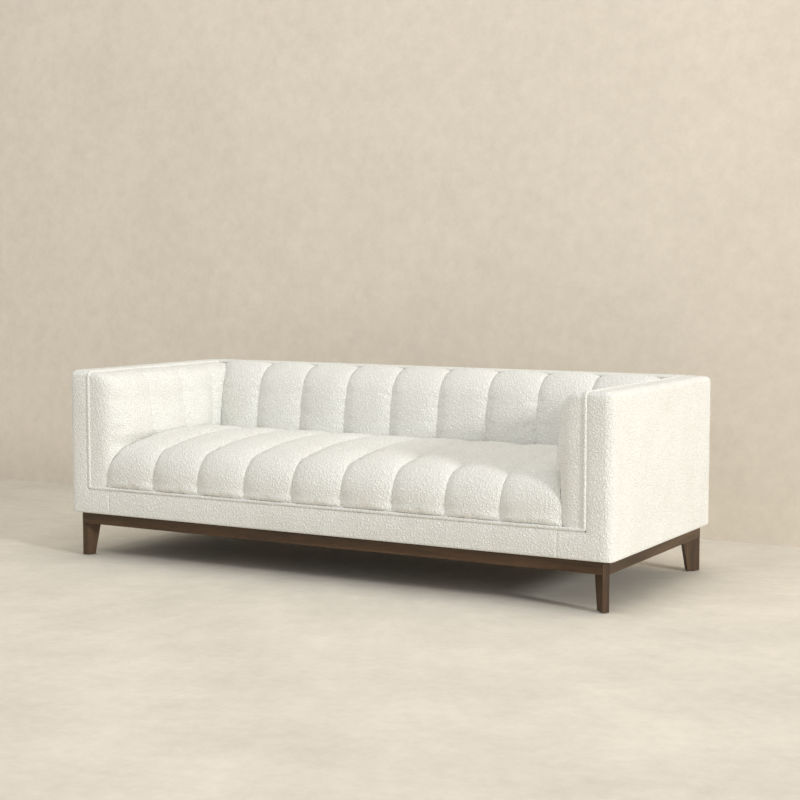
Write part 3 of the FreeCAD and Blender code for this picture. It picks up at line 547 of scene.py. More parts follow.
def channel_columns(seams):
    """Places across the channels, with the height and number of each."""
    share = channel_shares()
    places, heights, numbers = [], [], []
    for number, (start, end) in enumerate(zip(seams, seams[1:])):
        places += list(start + (end - start) * share)
        heights += list(scallop(share))
        numbers += [number] * COLUMNS
    return np.array(places + [seams[-1]]), np.array(heights + [0.0]), np.array(numbers + [len(seams) - 2])


def even_steps(length, step, first):
    """Distances along a line, with closer ones at its start."""
    count = max(2, round((length - first[-1]) / step))
    return np.array([*first[:-1], *np.linspace(first[-1], length, count + 1)])


def crease_seams(piece, on_seam):
    """Keeps the seam lines sharp under subdivision, by the numbers of an edge's two ends."""
    creases = piece.data.attributes.new("crease_edge", "FLOAT", "EDGE")
    values = np.zeros(len(piece.data.edges), np.float32)
    for index, edge in enumerate(piece.data.edges):
        if on_seam(*edge.vertices):
            values[index] = SEAM_CREASE
    creases.data.foreach_set("value", values)


def refine(piece):
    """Divides each face in four, and drops the seams' sharpness, which it has then used."""
    apply_modifier(piece, "SUBSURF", levels=1, render_levels=1, boundary_smooth="PRESERVE_CORNERS")
    if "crease_edge" in piece.data.attributes:
        piece.data.attributes.remove(piece.data.attributes["crease_edge"])


def quilt(name, grid, held_rows, reach):
    """A channelled panel: its seams are held, its channels fill, and its surface is refined."""
    rows, columns = grid.shape[:2]
    piece = surface(name, grid)
    held = np.zeros((rows, columns), bool)
    held[:, ::COLUMNS] = True
    held[list(held_rows)] = True
    swell(piece, held.ravel(), reach)
    crease_seams(piece, lambda first, second: first % columns == second % columns
        and (first % columns) % COLUMNS == 0)
    refine(piece)
    return piece


def gather(piece, axis, seams, seed):
    """Small puckers that run out from the seams, and slow unevenness in the filling."""
    points, normals = points_of(piece), normals_of(piece)
    seam_distance = np.abs(points[:, axis:axis + 1] - np.array(seams)).min(axis=1)
    fine = ripple(points, (55, 55, 55), seed)
    slow = ripple(points, (9, 9, 9), seed + 1)
    near_seam = np.exp(-seam_distance / 0.014) * smooth(seam_distance / 0.004)
    shift = PUCKER * fine * near_seam + PUCKER * slow * smooth(seam_distance / 0.03)
    set_points(piece, points + normals * shift[:, None])


# Seat


def seat_spine(distance):
    """Place and outward direction along the seat's section, over its nose and to the back."""
    s = sizes()
    seam_y, nose_z = FRONT + s.seat_setback, DECK + s.seat_nose
    centre_y = seam_y + s.seat_roll
    stop_y = BACK_LINE - s.back_pad - 0.015 - GAP - 0.013 * math.sin(s.seat_fall)
    run = stop_y - centre_y + s.seat_roll * math.sin(s.seat_rise)
    arch = run / (math.sin(s.seat_rise) + math.sin(s.seat_fall))
    arch_y = centre_y - (s.seat_roll - arch) * math.sin(s.seat_rise)
    arch_z = nose_z + (s.seat_roll - arch) * math.cos(s.seat_rise)
    upright, roll = nose_z - PAD_BOTTOM, s.seat_roll * (math.pi / 2 - s.seat_rise)
    if distance is None:
        return upright + roll + arch * (s.seat_rise + s.seat_fall)
    if distance < upright:
        return (seam_y, PAD_BOTTOM + distance), (-1.0, 0.0)
    if distance < upright + roll:
        turn = (distance - upright) / s.seat_roll
        out = (-math.cos(turn), math.sin(turn))
        return (centre_y + s.seat_roll * out[0], nose_z + s.seat_roll * out[1]), out
    turn = (distance - upright - roll) / arch - s.seat_rise
    out = (math.sin(turn), math.cos(turn))
    return (arch_y + arch * out[0], arch_z + arch * out[1]), out


def rounded(share):
    """Height of a quarter circle at a share of its width."""
    return math.sqrt(max(0.0, 1 - (1 - min(1.0, share)) ** 2))


def squared_corner(fullness):
    """A fuller curve than a quarter circle: its length so far, and its places across and up."""
    turn = np.linspace(0, math.pi / 2, 600)
    across, up = np.cos(turn) ** (2 / fullness), np.sin(turn) ** (2 / fullness)
    run = np.concatenate([[0], np.cumsum(np.hypot(np.diff(across), np.diff(up)))])
    return run, across, up


def beside_arm(depth, fullness):
    """How far an arm pad stands back from its crest, at a depth into its front or its top curve."""
    reach = PAD_SIDE - ARM_CREST
    share = min(0.985, max(0.0, depth / reach))
    return reach * (1 - (1 - share ** fullness) ** (1 / fullness))


def spread_ends(places, seam, shift):
    """Widens the two end channels so that they meet the arm pads."""
    share = np.clip((np.abs(places) - seam) / (SEAT_HALF - seam), 0, 1) ** 2
    return places + np.sign(places) * share * shift


def channel_seams(tuck):
    pitch = 2 * (SEAT_HALF + tuck) / CHANNELS
    return [-SEAT_HALF, *(-(SEAT_HALF + tuck) + pitch * k for k in range(1, CHANNELS)), SEAT_HALF]


def welt_wave(places):
    """The unevenness of the welt under the seat front, which the channels press on."""
    waves = [noise.noise(Vector((place * 13, 2.7, 0.4))) for place in places]
    return np.array([WELT_WAVE * (0.5 + 0.5 * wave) for wave in waves])


def unevenness(numbers, distance, spread, step, start):
    """A slight change of fullness along each channel."""
    return np.array([1 + spread * noise.noise(Vector((number * step, distance * 6, start)))
        for number in numbers])


class SOFA_OT_seat(bpy.types.Operator):
    """Nine seat channels over a rounded front, as one filled cover"""

    bl_idname = "sofa.seat"
    bl_label = "Seat"

    def execute(self, context):
        s = sizes()
        across, height, number = channel_columns(channel_seams(s.seat_tuck))
        along = even_steps(seat_spine(None), ROW_STEP, EDGE_STEPS)
        grid = np.zeros((len(along), len(across), 3))
        for row, distance in enumerate(along):
            (y, z), out = seat_spine(distance)
            rim = rounded(distance / 0.013)
            uneven = unevenness(number, distance, 0.07, 3.7, 1.3)
            rise = s.seat_crown * 0.86 * height * rim * uneven
            lead = 0.0065 * max(0.0, 1 - distance / 0.030)
            wide = 1.06 * beside_arm(PAD_FRONT + PAD_SIDE - ARM_CREST - y, PLAN_FULLNESS)
            grid[row, :, 0] = spread_ends(across, across[-1 - COLUMNS], wide)
            grid[row, :, 1] = y + out[0] * rise - lead
            grid[row, :, 2] = z + out[1] * rise + welt_wave(across) * max(0.0, 1 - distance / 0.03)
        piece = quilt("seat", grid, (0, len(along) - 1), SEAT_REACH)
        gather(piece, 0, channel_seams(s.seat_tuck), 11)
        points = points_of(piece)
        points[:, 2] = np.maximum(points[:, 2], PAD_BOTTOM)
        set_points(piece, points)
        close_pad(piece, 2, DECK + GAP)
        dress(piece, boucle_finish(), "boucle", "seat_cover", "seat_foam")
        return {"FINISHED"}


# Back


def back_spine(distance):
    """Place and outward direction along the back's section, up and over to the border."""
    s = sizes()
    seam_y, top = BACK_LINE - s.back_pad, RIM - s.back_drop
    roll = (PAD_REAR - seam_y - s.back_sweep * (1 - math.cos(s.back_lean))) / math.cos(s.back_lean)
    bend = top - roll * (1 - math.sin(s.back_lean)) - s.back_sweep * math.sin(s.back_lean)
    bottom = DECK + GAP
    upright, sweep = bend - bottom, s.back_sweep * s.back_lean
    if distance is None:
        return upright + sweep + roll * (math.pi / 2 - s.back_lean)
    if distance < upright:
        return (seam_y, bottom + distance), (-1.0, 0.0)
    if distance < upright + sweep:
        turn = (distance - upright) / s.back_sweep
        out = (-math.cos(turn), math.sin(turn))
        return (seam_y + s.back_sweep * (1 - math.cos(turn)), bend + s.back_sweep * math.sin(turn)), out
    turn = s.back_lean + (distance - upright - sweep) / roll
    out = (-math.cos(turn), math.sin(turn))
    return (PAD_REAR + roll * out[0], top - roll + roll * out[1]), out


class SOFA_OT_back(bpy.types.Operator):
    """Nine back channels that lean away and roll over to the border"""

    bl_idname = "sofa.back"
    bl_label = "Back"

    def execute(self, context):
        s = sizes()
        across, height, number = channel_columns(channel_seams(s.back_tuck))
        length = back_spine(None)
        along = length - even_steps(length, ROW_STEP, EDGE_STEPS)[::-1]
        grid = np.zeros((len(along), len(across), 3))
        for row, distance in enumerate(along):
            (y, z), out = back_spine(distance)
            rim = rounded((length - distance) / 0.016)
            uneven = unevenness(number, distance, 0.06, 5.1, 7.9)
            rise = s.back_crown * 0.88 * height * rim * uneven
            wide = 1.12 * beside_arm(z - ARM_TOP + PAD_SIDE - ARM_CREST, ROLL_FULLNESS)
            grid[row, :, 0] = spread_ends(across, across[-1 - COLUMNS], wide)
            grid[row, :, 1] = y + out[0] * rise
            grid[row, :, 2] = z + out[1] * rise
        piece = quilt("back", grid, (0, len(along) - 1), SEAT_REACH)
        gather(piece, 0, channel_seams(s.back_tuck), 23)
        points = points_of(piece)
        points[:, 1] = np.minimum(points[:, 1], PAD_REAR)
        points[:, 2] = np.maximum(points[:, 2], DECK + GAP)
        set_points(piece, points)
        close_pad(piece, 1, PAD_REAR, BACK_LINE - GAP - PAD_REAR)
        dress(piece, boucle_finish(), "boucle", "back_cover", "back_foam")
        return {"FINISHED"}


# Arm pads


class SOFA_OT_arm_pads(bpy.types.Operator):
    """Channelled pads inside the arms, rolled over the top and round the front"""

    bl_idname = "sofa.arm_pads"
    bl_label = "Arm pads"

    def execute(self, context):
        s = sizes()
        reach = PAD_SIDE - ARM_CREST
        turn_y, bend_z = PAD_FRONT + reach, ARM_TOP - reach
        pitch = (PAD_REAR - PAD_FRONT) / 4
        seams = [PAD_FRONT + s.arm_lead + pitch * k for k in range(1, 4)] + [PAD_REAR]
        plan = []
        run, round_in, round_out = squared_corner(PLAN_FULLNESS)
        for share in np.linspace(0, run[-1], ROUND_ROWS + 1)[:-1]:
            inward, outward = np.interp(share, run, round_in), np.interp(share, run, round_out)
            plan.append((turn_y - reach * inward, reach * outward, 1.0))
        for u in channel_shares(COLUMNS // 2):
            plan.append((turn_y + (seams[0] - turn_y) * (2 * u - 1), reach, scallop(u)))
        for start, end in zip(seams, seams[1:]):
            for u in channel_shares():
                plan.append((start + (end - start) * u, reach, scallop(u)))
        plan.append((PAD_REAR, reach, 0.0))
        run, round_in, round_out = squared_corner(ROLL_FULLNESS)
        upright = bend_z - PAD_BOTTOM
        length = upright + reach * run[-1]
        along = even_steps(length, ROW_STEP, ARM_EDGE_STEPS)
        grid = np.zeros((len(plan), len(along), 3))
        for row, (y, radius, height) in enumerate(plan):
            corner = s.welt_bend
            below = max(0.0, PAD_FRONT + corner - y)
            top = reach - (corner - math.sqrt(max(0.0, corner ** 2 - below ** 2)))
            lead = smooth((y - PAD_FRONT) / 0.07) * smooth((0.21 - y) / 0.12)
            for column, distance in enumerate(along):
                rim = rounded(distance / 0.020)
                valley = s.arm_crown * 0.88 * (1 - height) * (0.35 + 0.65 * rim)
                if distance < upright:
                    out, z = radius - valley, PAD_BOTTOM + distance
                    full = smooth((z - 0.43) / 0.05) * smooth((bend_z + 0.05 - z) / 0.16)
                    out += s.arm_bulge * full * lead - 0.003 * (1 - rim) * (radius > 0.01)
                else:
                    share = min(run[-1], (distance - upright) / reach)
                    inward, raised = np.interp(share, run, round_in), np.interp(share, run, round_out)
                    fade = 1 - share / run[-1]
                    rest = smooth(0.05 / 0.16) * s.arm_bulge * lead * fade
                    out = (radius - valley) * inward + rest
                    z = bend_z + (top - valley * raised * fade) * raised
                grid[row, column] = (PAD_SIDE - max(0.0, out), y, z)
        piece = surface("arm_pad_right", grid)
        rows, columns = grid.shape[:2]
        held = np.zeros((rows, columns), bool)
        seam_rows = [0, *(ROUND_ROWS + COLUMNS // 2 + COLUMNS * k for k in range(4))]
        held[seam_rows] = held[:HELD_ROWS] = True
        held[:, 0] = held[:, -1] = True
        swell(piece, held.ravel(), ARM_REACH)
        crease_seams(piece, lambda first, second: first // columns == second // columns
            and first // columns in seam_rows[1:-1])
        refine(piece)
        gather(piece, 1, seams[:3], 31)
        points = points_of(piece)
        points[:, 0] = np.minimum(points[:, 0], PAD_SIDE)
        points[:, 1] = np.clip(points[:, 1], PAD_FRONT - 0.002, PAD_REAR)
        set_points(piece, points)
        close_pad(piece, 0, PAD_SIDE, ARM_LINE - GAP - PAD_SIDE)
        left = other_side(piece, "arm_pad_left")
        for pad, side in ((piece, "right"), (left, "left")):
            dress(pad, boucle_finish(), "boucle", f"arm_inner_cover_{side}", f"arm_foam_{side}")
        return {"FINISHED"}


# Plain outside covers


def border_swell(points):
    """The covers' padding along the border, and their pull at the welt and at the seams."""
    s = sizes()
    x, y, z = np.abs(points[:, 0]), points[:, 1], points[:, 2]
    shift = np.zeros_like(points)
    front = smooth((FRONT + 0.010 - y) / 0.010)
    top = smooth((z - RIM + 0.010) / 0.010)
    rear = smooth((y - REAR + 0.010) / 0.010)
    side = smooth((x - SIDE + 0.010) / 0.010)
    uneven = ripple(points, (11, 11, 11), 41) * 0.0009

    def padding(distance):
        rise = s.border_crown * np.sin(np.pi * np.clip(distance / BORDER_WIDTH, 0, 1))
        return rise - WELT_PULL * np.exp(-distance / 0.006)

    inner_front = np.hypot(np.maximum(0, x - ARM_LINE), np.maximum(0, DECK - z))
    inner_top = np.hypot(np.maximum(0, x - ARM_LINE), np.maximum(0, y - BACK_LINE))
    seam_front = -0.0026 * np.exp(-np.abs(x - RAIL_SEAM) / 0.0028) * (z < DECK + 0.001)
    seam_back = -0.0014 * np.exp(-np.abs(x - ARM_LINE) / 0.003) * (y > BACK_LINE - 0.001)
    shift[:, 1] -= front * (padding(inner_front) + uneven + seam_front)
    shift[:, 2] += top * (1 - front) * (padding(inner_top) + uneven + seam_back)
    middle_y = np.sin(np.pi * np.clip((y - FRONT) / (REAR - FRONT), 0, 1))
    middle_z = np.sin(np.pi * np.clip((z - HEM) / (RIM - HEM), 0, 1))
    shift[:, 0] += np.sign(points[:, 0]) * side * (0.0030 * middle_y * middle_z + uneven)
    shift[:, 1] += rear * (0.0025 * middle_z + uneven + seam_back)
    return points + shift


def round_off(piece, width, segments, chosen):
    edit(piece, "EDGE", chosen,
        (bpy.ops.mesh.bevel, {"offset": width, "segments": segments, "affect": "EDGES",
            "clamp_overlap": False}))


def at(value, target, room=0.0008):
    return abs(value - target) < room


def on_line(a, b, **places):
    """Whether both ends of an edge are at the places given, such as x=SIDE."""
    return all(at(getattr(end, axis), place) for axis, place in places.items() for end in (a, b))


def turn_hem(piece):
    """Rolls the lower edge of a cover inwards, as cloth that is drawn under and stapled."""
    points = points_of(piece)
    drop = np.clip((HEM + 0.006 - points[:, 2]) / 0.006, 0, 1) ** 2 * 0.0035
    for axis, low, high in ((0, -SIDE, SIDE), (1, FRONT, REAR)):
        for face, inward in ((low, drop), (high, -drop)):
            place = points[:, axis]
            points[:, axis] = np.where(at(place, face, 0.004), place + inward, place)
    set_points(piece, points)


def finish_cover(piece, wall):
    """Gives a cover its thickness, its hem and its padding."""
    edit_all(piece, (bpy.ops.mesh.remove_doubles, {"threshold": 0.0002}))
    turn_hem(piece)
    apply_modifier(piece, "SOLIDIFY", thickness=wall, offset=-1, use_even_offset=True)
    set_points(piece, border_swell(points_of(piece)))


class SOFA_OT_arm_covers(bpy.types.Operator):
    """One cover round the front, side, back and top of each arm, with its return under the pad"""

    bl_idname = "sofa.arm_covers"
    bl_label = "Arm covers"

    def execute(self, context):
        s = sizes()
        piece = block("arm_cover_right", (ARM_LINE, FRONT, HEM), (SIDE, REAR, RIM))
        edit(piece, "FACE", lambda centre, normal: normal.z < -0.5 or normal.x < -0.5,
            (bpy.ops.mesh.delete, {"type": "FACE"}))
        round_off(piece, SIDE_ROUND, 7,
            lambda a, b: on_line(a, b, x=SIDE) and at(a.y, b.y) and not at(a.z, b.z))
        round_off(piece, RIM_ROUND, 6,
            lambda a, b: on_line(a, b, z=RIM) and not on_line(a, b, x=ARM_LINE))
        edit(piece, "EDGE", lambda a, b: on_line(a, b, x=ARM_LINE, y=FRONT),
            (bpy.ops.mesh.bisect, {"plane_co": (0, 0, DECK), "plane_no": (0, 0, 1)}))
        slice_up(piece,
            (2, HEM, HEM + HEM_ROLL, 0.003),
            (2, DECK - BORDER_FINE, DECK + BORDER_FINE, 0.009),
            (2, DECK + BORDER_FINE, RIM - RIM_ROUND, 0.012))
        inward, rearward = (RAIL_SEAM - ARM_LINE, 0, 0), (0, RAIL_BACK - FRONT, 0)
        edit(piece, "EDGE",
            lambda a, b: on_line(a, b, x=ARM_LINE, y=FRONT) and max(a.z, b.z) < DECK + 0.0005,
            (bpy.ops.mesh.extrude_edges_move, {"TRANSFORM_OT_translate": {"value": inward}}))
        edit(piece, "EDGE", lambda a, b: on_line(a, b, z=DECK) and max(a.x, b.x) < ARM_LINE + 0.0005,
            (bpy.ops.mesh.extrude_edges_move, {"TRANSFORM_OT_translate": {"value": rearward}}))
        slice_up(piece,
            (0, RAIL_SEAM, RAIL_SEAM + 0.012, 0.002),
            (0, RAIL_SEAM + 0.012, ARM_LINE, 0.011),
            (0, ARM_LINE, ARM_LINE + 0.015, 0.003),
            (0, ARM_LINE + 0.015, SIDE - 0.03, 0.009),
            (1, FRONT + 0.03, REAR - 0.03, 0.012),
            (1, BACK_LINE - 0.004, BACK_LINE + 0.012, 0.004))
        finish_cover(piece, s.wall)
        left = other_side(piece, "arm_cover_left")
        dress(piece, boucle_finish(), "boucle", "arm_outer_cover_right")
        dress(left, boucle_finish(), "boucle", "arm_outer_cover_left")
        return {"FINISHED"}


class SOFA_OT_rail_cover(bpy.types.Operator):
    """The border under the seat, between the two arm covers"""

    bl_idname = "sofa.rail_cover"
    bl_label = "Front rail cover"

    def execute(self, context):
        piece = block("front_rail_border", (-RAIL_SEAM, FRONT, HEM), (RAIL_SEAM, RAIL_BACK, DECK))
        edit(piece, "FACE",
            lambda centre, normal: normal.z < -0.5 or normal.y > 0.5 or abs(normal.x) > 0.5,
            (bpy.ops.mesh.delete, {"type": "FACE"}))
        slice_up(piece,
            (2, HEM, HEM + HEM_ROLL, 0.003),
            (2, HEM + HEM_ROLL, DECK - 0.015, 0.009),
            (2, DECK - 0.015, DECK, 0.003),
            (0, -RAIL_SEAM, -RAIL_SEAM + 0.012, 0.002),
            (0, RAIL_SEAM - 0.012, RAIL_SEAM, 0.002),
            (0, -RAIL_SEAM + 0.012, RAIL_SEAM - 0.012, 0.014))
        finish_cover(piece, RAIL_WALL)
        dress(piece, boucle_finish(), "boucle", "front_rail_cover")
        return {"FINISHED"}


class SOFA_OT_back_cover(bpy.types.Operator):
    """The border over the back and the plain outside back"""

    bl_idname = "sofa.back_cover"
    bl_label = "Outside back cover"

    def execute(self, context):
        s = sizes()
        piece = block("outside_back", (-ARM_LINE, BACK_LINE, HEM), (ARM_LINE, REAR, RIM))
        edit(piece, "FACE",
            lambda centre, normal: normal.z < -0.5 or normal.y < -0.5 or abs(normal.x) > 0.5,
            (bpy.ops.mesh.delete, {"type": "FACE"}))
        round_off(piece, RIM_ROUND, 6, lambda a, b: on_line(a, b, y=REAR, z=RIM))
        slice_up(piece,
            (1, BACK_LINE, BACK_LINE + 0.015, 0.003),
            (1, BACK_LINE + 0.015, REAR - 0.02, 0.009),
            (2, HEM, HEM + HEM_ROLL, 0.003),
            (2, HEM + HEM_ROLL, RIM - 0.02, 0.018),
            (0, -ARM_LINE, -ARM_LINE + 0.012, 0.003),
            (0, ARM_LINE - 0.012, ARM_LINE, 0.003),
            (0, -ARM_LINE + 0.012, ARM_LINE - 0.012, 0.016))
        finish_cover(piece, s.wall)
        dress(piece, boucle_finish(), "boucle", "outside_back_cover")
        return {"FINISHED"}


# Welt

WANDER_SHIFTS = (Vector((0.37, 5.1, 2.9)), Vector((8.3, 0.61, 4.7)), Vector((3.9, 7.7, 0.83)))


class SOFA_OT_welt(bpy.types.Operator):
    """The covered cord that runs round the whole channelled inside"""

    bl_idname = "sofa.welt"
    bl_label = "Welt"

    def execute(self, context):
        side, low = WELT_HIGH.x - WELT_RADIUS, WELT_LOW.z + WELT_RADIUS
        top = WELT_HIGH.z - WELT_RADIUS + WELT_LIFT
        front, rear = WELT_LOW.y + WELT_RADIUS - WELT_PROUD, WELT_HIGH.y - WELT_RADIUS
        loose, tight = sizes().welt_bend, WELT_CORNER
        corners = [
            ((-side, front, low), tight), ((side, front, low), tight), ((side, front, top), loose),
            ((side, rear, top), tight), ((-side, rear, top), tight), ((-side, front, top), loose)]
        line = []
        for index, (corner, bend) in enumerate(corners):
            corner = Vector(corner)
            back = (Vector(corners[index - 1][0]) - corner).normalized()
            following, next_bend = Vector(corners[(index + 1) % 6][0]), corners[(index + 1) % 6][1]
            ahead = (following - corner).normalized()
            hub = corner + (back + ahead) * bend
            for step in range(7):
                angle = math.pi / 2 * step / 6
                line.append(hub - ahead * bend * math.cos(angle) - back * bend * math.sin(angle))
            run = (following - corner).length - bend - next_bend
            count = round(run / 0.010)
            for step in range(1, count):
                line.append(corner + ahead * (bend + run * step / count))
        curve = bpy.data.curves.new("welt", "CURVE")
        curve.dimensions = "3D"
        curve.bevel_depth = WELT_RADIUS + WELT_FUZZ
        curve.bevel_resolution = 5
        spline = curve.splines.new("POLY")
        spline.points.add(len(line) - 1)
        spline.use_cyclic_u = True
        for point, place in zip(spline.points, line):
            wander = Vector([noise.noise(place * 9 + shift) for shift in WANDER_SHIFTS]) * 0.0011
            under_seat = place.y < front + 0.001 and place.z < low + 0.001
            sag = float(welt_wave([place.x])[0]) if under_seat else 0.0
            place = place + Vector((wander.x * 0.5, abs(wander.y) * 0.5, wander.z * 0.25 + sag))
            point.co = (*place, 1)
            point.radius = 1 + 0.05 * noise.noise(place * 40)
        active(new_object("welt", curve))
        bpy.ops.object.convert(target="MESH")
        piece = bpy.context.object
        edit_all(piece, (bpy.ops.mesh.remove_doubles, {"threshold": 0.00005}),
            (bpy.ops.mesh.normals_make_consistent, {"inside": False}))
        dress(piece, boucle_finish(), "boucle", "welt_cord")
        return {"FINISHED"}


# Walnut base, inner frame and the layers inside


def finish_node(name, finish):
    mesh = NODES[name].data
    mesh.materials.clear()
    mesh.materials.append(finish)


class SOFA_OT_base(bpy.types.Operator):
    """Walnut legs and aprons, with the grain along each piece, and the hardware under them"""

    bl_idname = "sofa.base"
    bl_label = "Base"

    def execute(self, context):
        pale, dark = tuple(colours().walnut), tuple(colours().walnut_dark)
        for name in NODES:
            if name.startswith("leg_") and name != "leg_glue_blocks":
                finish_node(name, wood_finish("walnut_upright", pale, dark, "z"))
        for name in ("apron_front", "apron_rear"):
            finish_node(name, wood_finish("walnut_across", pale, dark, "x"))
        for name in ("apron_left", "apron_right"):
            finish_node(name, wood_finish("walnut_deep", pale, dark, "y"))
        finish_node("glides", moulded_finish("dark_nylon", (0.055, 0.05, 0.045), 0.5))
        finish_node("base_bolts", moulded_finish("plated_steel", (0.55, 0.55, 0.54), 0.35, metallic=1.0))
        return {"FINISHED"}


SOFT_LAYERS = {
    "seat_webbing": "webbing", "seat_cross_webbing": "webbing", "back_webbing": "webbing",
    "deck_felt": "lining", "back_cloth": "lining",
}
NOT_HARDWOOD = ("apron", "leg_f", "leg_r", "glides", "base_bolts", "dust_cover")


class SOFA_OT_inner_frame(bpy.types.Operator):
    """Hardwood boards and blocks under the upholstery"""

    bl_idname = "sofa.inner_frame"
    bl_label = "Inner frame"

    def execute(self, context):
        pale, dark = (0.60, 0.44, 0.27), (0.45, 0.30, 0.17)
        for name in NODES:
            if NODES[name].hide_render or name in SOFT_LAYERS or name.startswith(NOT_HARDWOOD):
                continue
            low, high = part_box(name)
            extent = high - low
            along = "xyz"[max(range(3), key=lambda axis: extent[axis])]
            finish_node(name, wood_finish(f"hardwood_{along}", pale, dark, along, 0.6, 1.5))
        return {"FINISHED"}


class SOFA_OT_layers(bpy.types.Operator):
    """Webbing, felt and cloth that carry the filling"""

    bl_idname = "sofa.layers"
    bl_label = "Webbing and linings"

    def execute(self, context):
        finishes = {
            "webbing": woven_finish("jute_webbing", (0.42, 0.31, 0.19), (0.33, 0.23, 0.13), 0.0022),
            "lining": woven_finish("felt_and_cloth", (0.60, 0.58, 0.53), (0.52, 0.50, 0.46), 0.0012),
        }
        for name, slot in SOFT_LAYERS.items():
            piece = new_object(f"{name}_cloth", NODES[name].data.copy())
            edit_all(piece, (bpy.ops.mesh.remove_doubles, {"threshold": 0.00002}),
                (bpy.ops.mesh.tris_convert_to_quads, {}))
            apply_modifier(piece, "BEVEL", width=0.0006, segments=2, limit_method="ANGLE")
            dress(piece, finishes[slot], slot, name)
        return {"FINISHED"}


class SOFA_OT_dust_cover(bpy.types.Operator):
    """The dark cloth stapled under the frame, drawn slightly slack between the rails"""

    bl_idname = "sofa.dust_cover"
    bl_label = "Dust cover"

    def execute(self, context):
        low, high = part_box("dust_cover")
        bpy.ops.object.select_all(action="DESELECT")
        middle = ((low.x + high.x) / 2, (low.y + high.y) / 2, high.z - 0.0002)
        bpy.ops.mesh.primitive_grid_add(x_subdivisions=150, y_subdivisions=62, size=1, location=middle)
        piece = bpy.context.object
        piece.name = piece.data.name = "dust_cloth"
        piece.scale = (high.x - low.x, high.y - low.y, 1)
        bpy.ops.object.transform_apply(location=True, rotation=True, scale=True)
        points = points_of(piece)
        inward = np.minimum(high.x - np.abs(points[:, 0]), high.y - np.abs(points[:, 1]))
        brace = np.abs(np.abs(points[:, 0]) - 0.43)
        slack = smooth(inward / 0.12) * smooth((brace - 0.02) / 0.12)
        points[:, 2] -= slack * (0.0022 + 0.0012 * ripple(points, (6, 14, 1), 51))
        edge = smooth(1 - inward / 0.03)
        points[:, 2] -= edge * 0.0004 * (1 + ripple(points, (45, 45, 1), 57))
        set_points(piece, points)
        apply_modifier(piece, "SOLIDIFY", thickness=0.0006, offset=-1)
        dress(piece, woven_finish("dust_cloth", (0.030, 0.030, 0.031), (0.020, 0.020, 0.021), 0.0014),
            "lining", "dust_cover")
        return {"FINISHED"}


# Floor, backdrop, lamps and camera

WALL_Y = 1.10
FLOOR_Z = -0.0004
LAMP_TURN = math.radians(-15)
LAMP_RISE = math.radians(16)
LAMP_DISTANCE = 20.0
LAMP_SIZE = 2.3
LAMP_POWER = 1980
OVERHEAD_POWER = 66
OVERHEAD_SIZE = 5.0
OVERHEAD_PLACE = (0.5, -1.5, 5.0)
WORLD_LEVEL = 0.65
CAMERA_PLACE = (3.0915, -5.2397, 1.1079)
CAMERA_TURN = math.radians(29.92)
CAMERA_DIP = math.radians(4.671)
CAMERA_LENS = 73.73


def stage_finish(name, colour, mottle):
    """Trowelled plaster: slow clouds of tone, with finer mottling over them."""
    finish, shader = new_finish(name, 0.9, specular=0.1)
    place = object_space(finish)
    cloud = noise_node(finish, place, Scale=2.2, Detail=8.0, Roughness=0.68)
    grain = noise_node(finish, place, Scale=17.0, Detail=7.0, Roughness=0.8)
    tone = ramp(finish, cloud, "Fac", tuple(c * (1 - mottle) for c in colour), colour, (0.32, 0.68))
    fine = ramp(finish, grain, "Fac", (0.94, 0.934, 0.925), (1.065, 1.065, 1.065), (0.3, 0.7))
    tint(finish, shader, tone, fine)
    return finish


def open_from_behind(finish):
    """Lets a view from behind the backdrop, or from under the floor, see through it."""
    tree = finish.node_tree
    side = node(finish, "ShaderNodeNewGeometry")
    clear = node(finish, "ShaderNodeBsdfTransparent")
    shader, output = tree.nodes["Principled BSDF"], tree.nodes["Material Output"]
    blend = node(finish, "ShaderNodeMixShader",
        [("Fac", side, "Backfacing"), (1, shader, "BSDF"), (2, clear, "BSDF")])
    link(finish, blend, "Shader", output, "Surface")
    return finish


def add_lamp(name, size, power, place):
    lamp = bpy.data.lights.new(name, "AREA")
    lamp.shape = "SQUARE"
    lamp.size = size
    lamp.energy = power
    lit = new_object(name, lamp)
    lit.location = place
    return lit


def add_plane(name, scale, place, turn, colour, mottle):
    bpy.ops.object.select_all(action="DESELECT")
    bpy.ops.mesh.primitive_plane_add(size=1, location=place, rotation=turn)
    piece = bpy.context.object
    piece.name = name
    piece.scale = scale
    bpy.ops.object.transform_apply(location=True, rotation=True, scale=True)
    piece.data.materials.append(open_from_behind(stage_finish(name, tuple(colour), mottle)))
    return piece


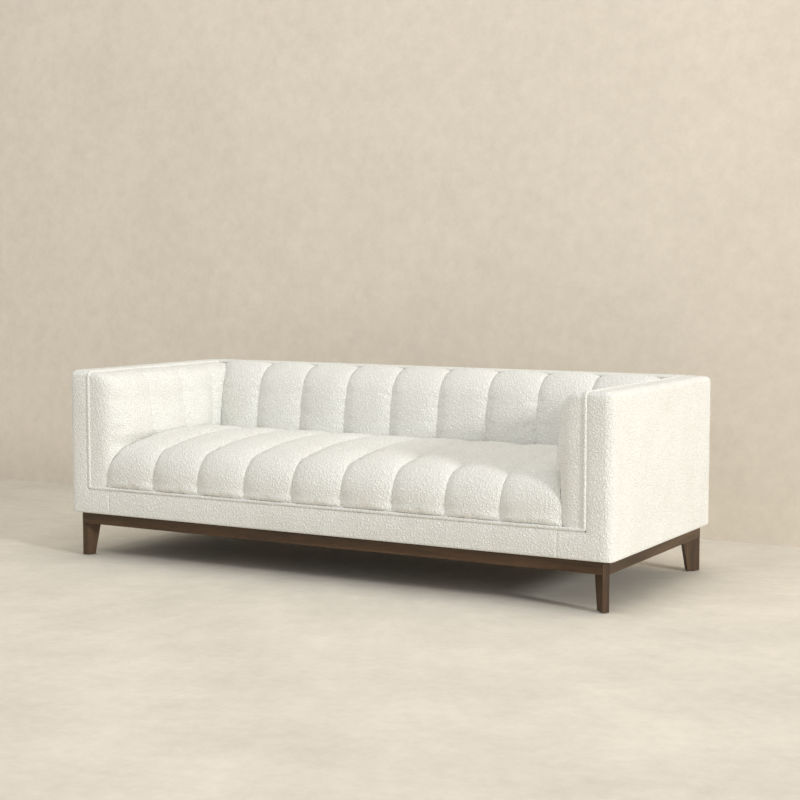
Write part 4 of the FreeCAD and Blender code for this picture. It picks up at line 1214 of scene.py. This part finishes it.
class SOFA_OT_stage(bpy.types.Operator):
    """A plain pale floor and backdrop, soft light from the right, and the camera"""

    bl_idname = "sofa.stage"
    bl_label = "Stage"

    def execute(self, context):
        scene = bpy.context.scene
        floor = add_plane("floor", (40, 40, 1), (0, -3.0, FLOOR_Z), (0, 0, 0), colours().floor, 0.15)
        wall = add_plane("backdrop", (40, 8, 1), (0, WALL_Y, 4), (math.pi / 2, 0, 0),
            colours().backdrop, 0.06)

        level = Vector((math.cos(LAMP_RISE), 0, math.sin(LAMP_RISE)))
        toward = Euler((0, 0, LAMP_TURN)).to_matrix() @ level
        key = add_lamp("key", LAMP_SIZE, LAMP_POWER, Vector((0, 0, 0.4)) + toward * LAMP_DISTANCE)
        key.rotation_euler = toward.to_track_quat("Z", "Y").to_euler()
        add_lamp("overhead", OVERHEAD_SIZE, OVERHEAD_POWER, OVERHEAD_PLACE)

        world = bpy.data.worlds.new("studio")
        world.use_nodes = True
        sky = world.node_tree.nodes["Background"]
        sky.inputs["Color"].default_value = (1.0, 0.985, 0.955, 1)
        sky.inputs["Strength"].default_value = WORLD_LEVEL
        scene.world = world

        camera = bpy.data.cameras.new("camera")
        camera.lens = CAMERA_LENS
        camera.sensor_width = 36
        eye = new_object("camera", camera)
        eye.location = CAMERA_PLACE
        eye.rotation_euler = (math.pi / 2 - CAMERA_DIP, 0, CAMERA_TURN)
        scene.camera = eye
        scene.view_settings.view_transform = "Standard"
        return {"FINISHED"}


class SOFA_PT_panel(bpy.types.Panel):
    """Lists the pieces of the sofa"""

    bl_idname = "SOFA_PT_panel"
    bl_label = "Tuxedo sofa"
    bl_space_type = "VIEW_3D"
    bl_region_type = "UI"
    bl_category = "Sofa"

    def draw(self, context):
        for name in SofaSizes.__annotations__:
            self.layout.prop(context.scene.sofa_sizes, name)
        for name in SofaColours.__annotations__:
            self.layout.prop(context.scene.sofa_colours, name)
        for operator in OPERATORS:
            self.layout.operator(operator.bl_idname)


OPERATORS = (
    SOFA_OT_seat, SOFA_OT_back, SOFA_OT_arm_pads, SOFA_OT_arm_covers, SOFA_OT_rail_cover,
    SOFA_OT_back_cover, SOFA_OT_welt, SOFA_OT_base, SOFA_OT_layers, SOFA_OT_dust_cover,
    SOFA_OT_inner_frame, SOFA_OT_stage)
CLASSES = (SofaSizes, SofaColours, *OPERATORS, SOFA_PT_panel)


def register():
    for item in CLASSES:
        bpy.utils.register_class(item)
    bpy.types.Scene.sofa_sizes = PointerProperty(type=SofaSizes)
    bpy.types.Scene.sofa_colours = PointerProperty(type=SofaColours)


def unregister():
    del bpy.types.Scene.sofa_colours
    del bpy.types.Scene.sofa_sizes
    for item in reversed(CLASSES):
        bpy.utils.unregister_class(item)


def main():
    register()
    for operator in OPERATORS:
        group, name = operator.bl_idname.split(".")
        getattr(getattr(bpy.ops, group), name)()


if __name__ == "__main__":
    main()
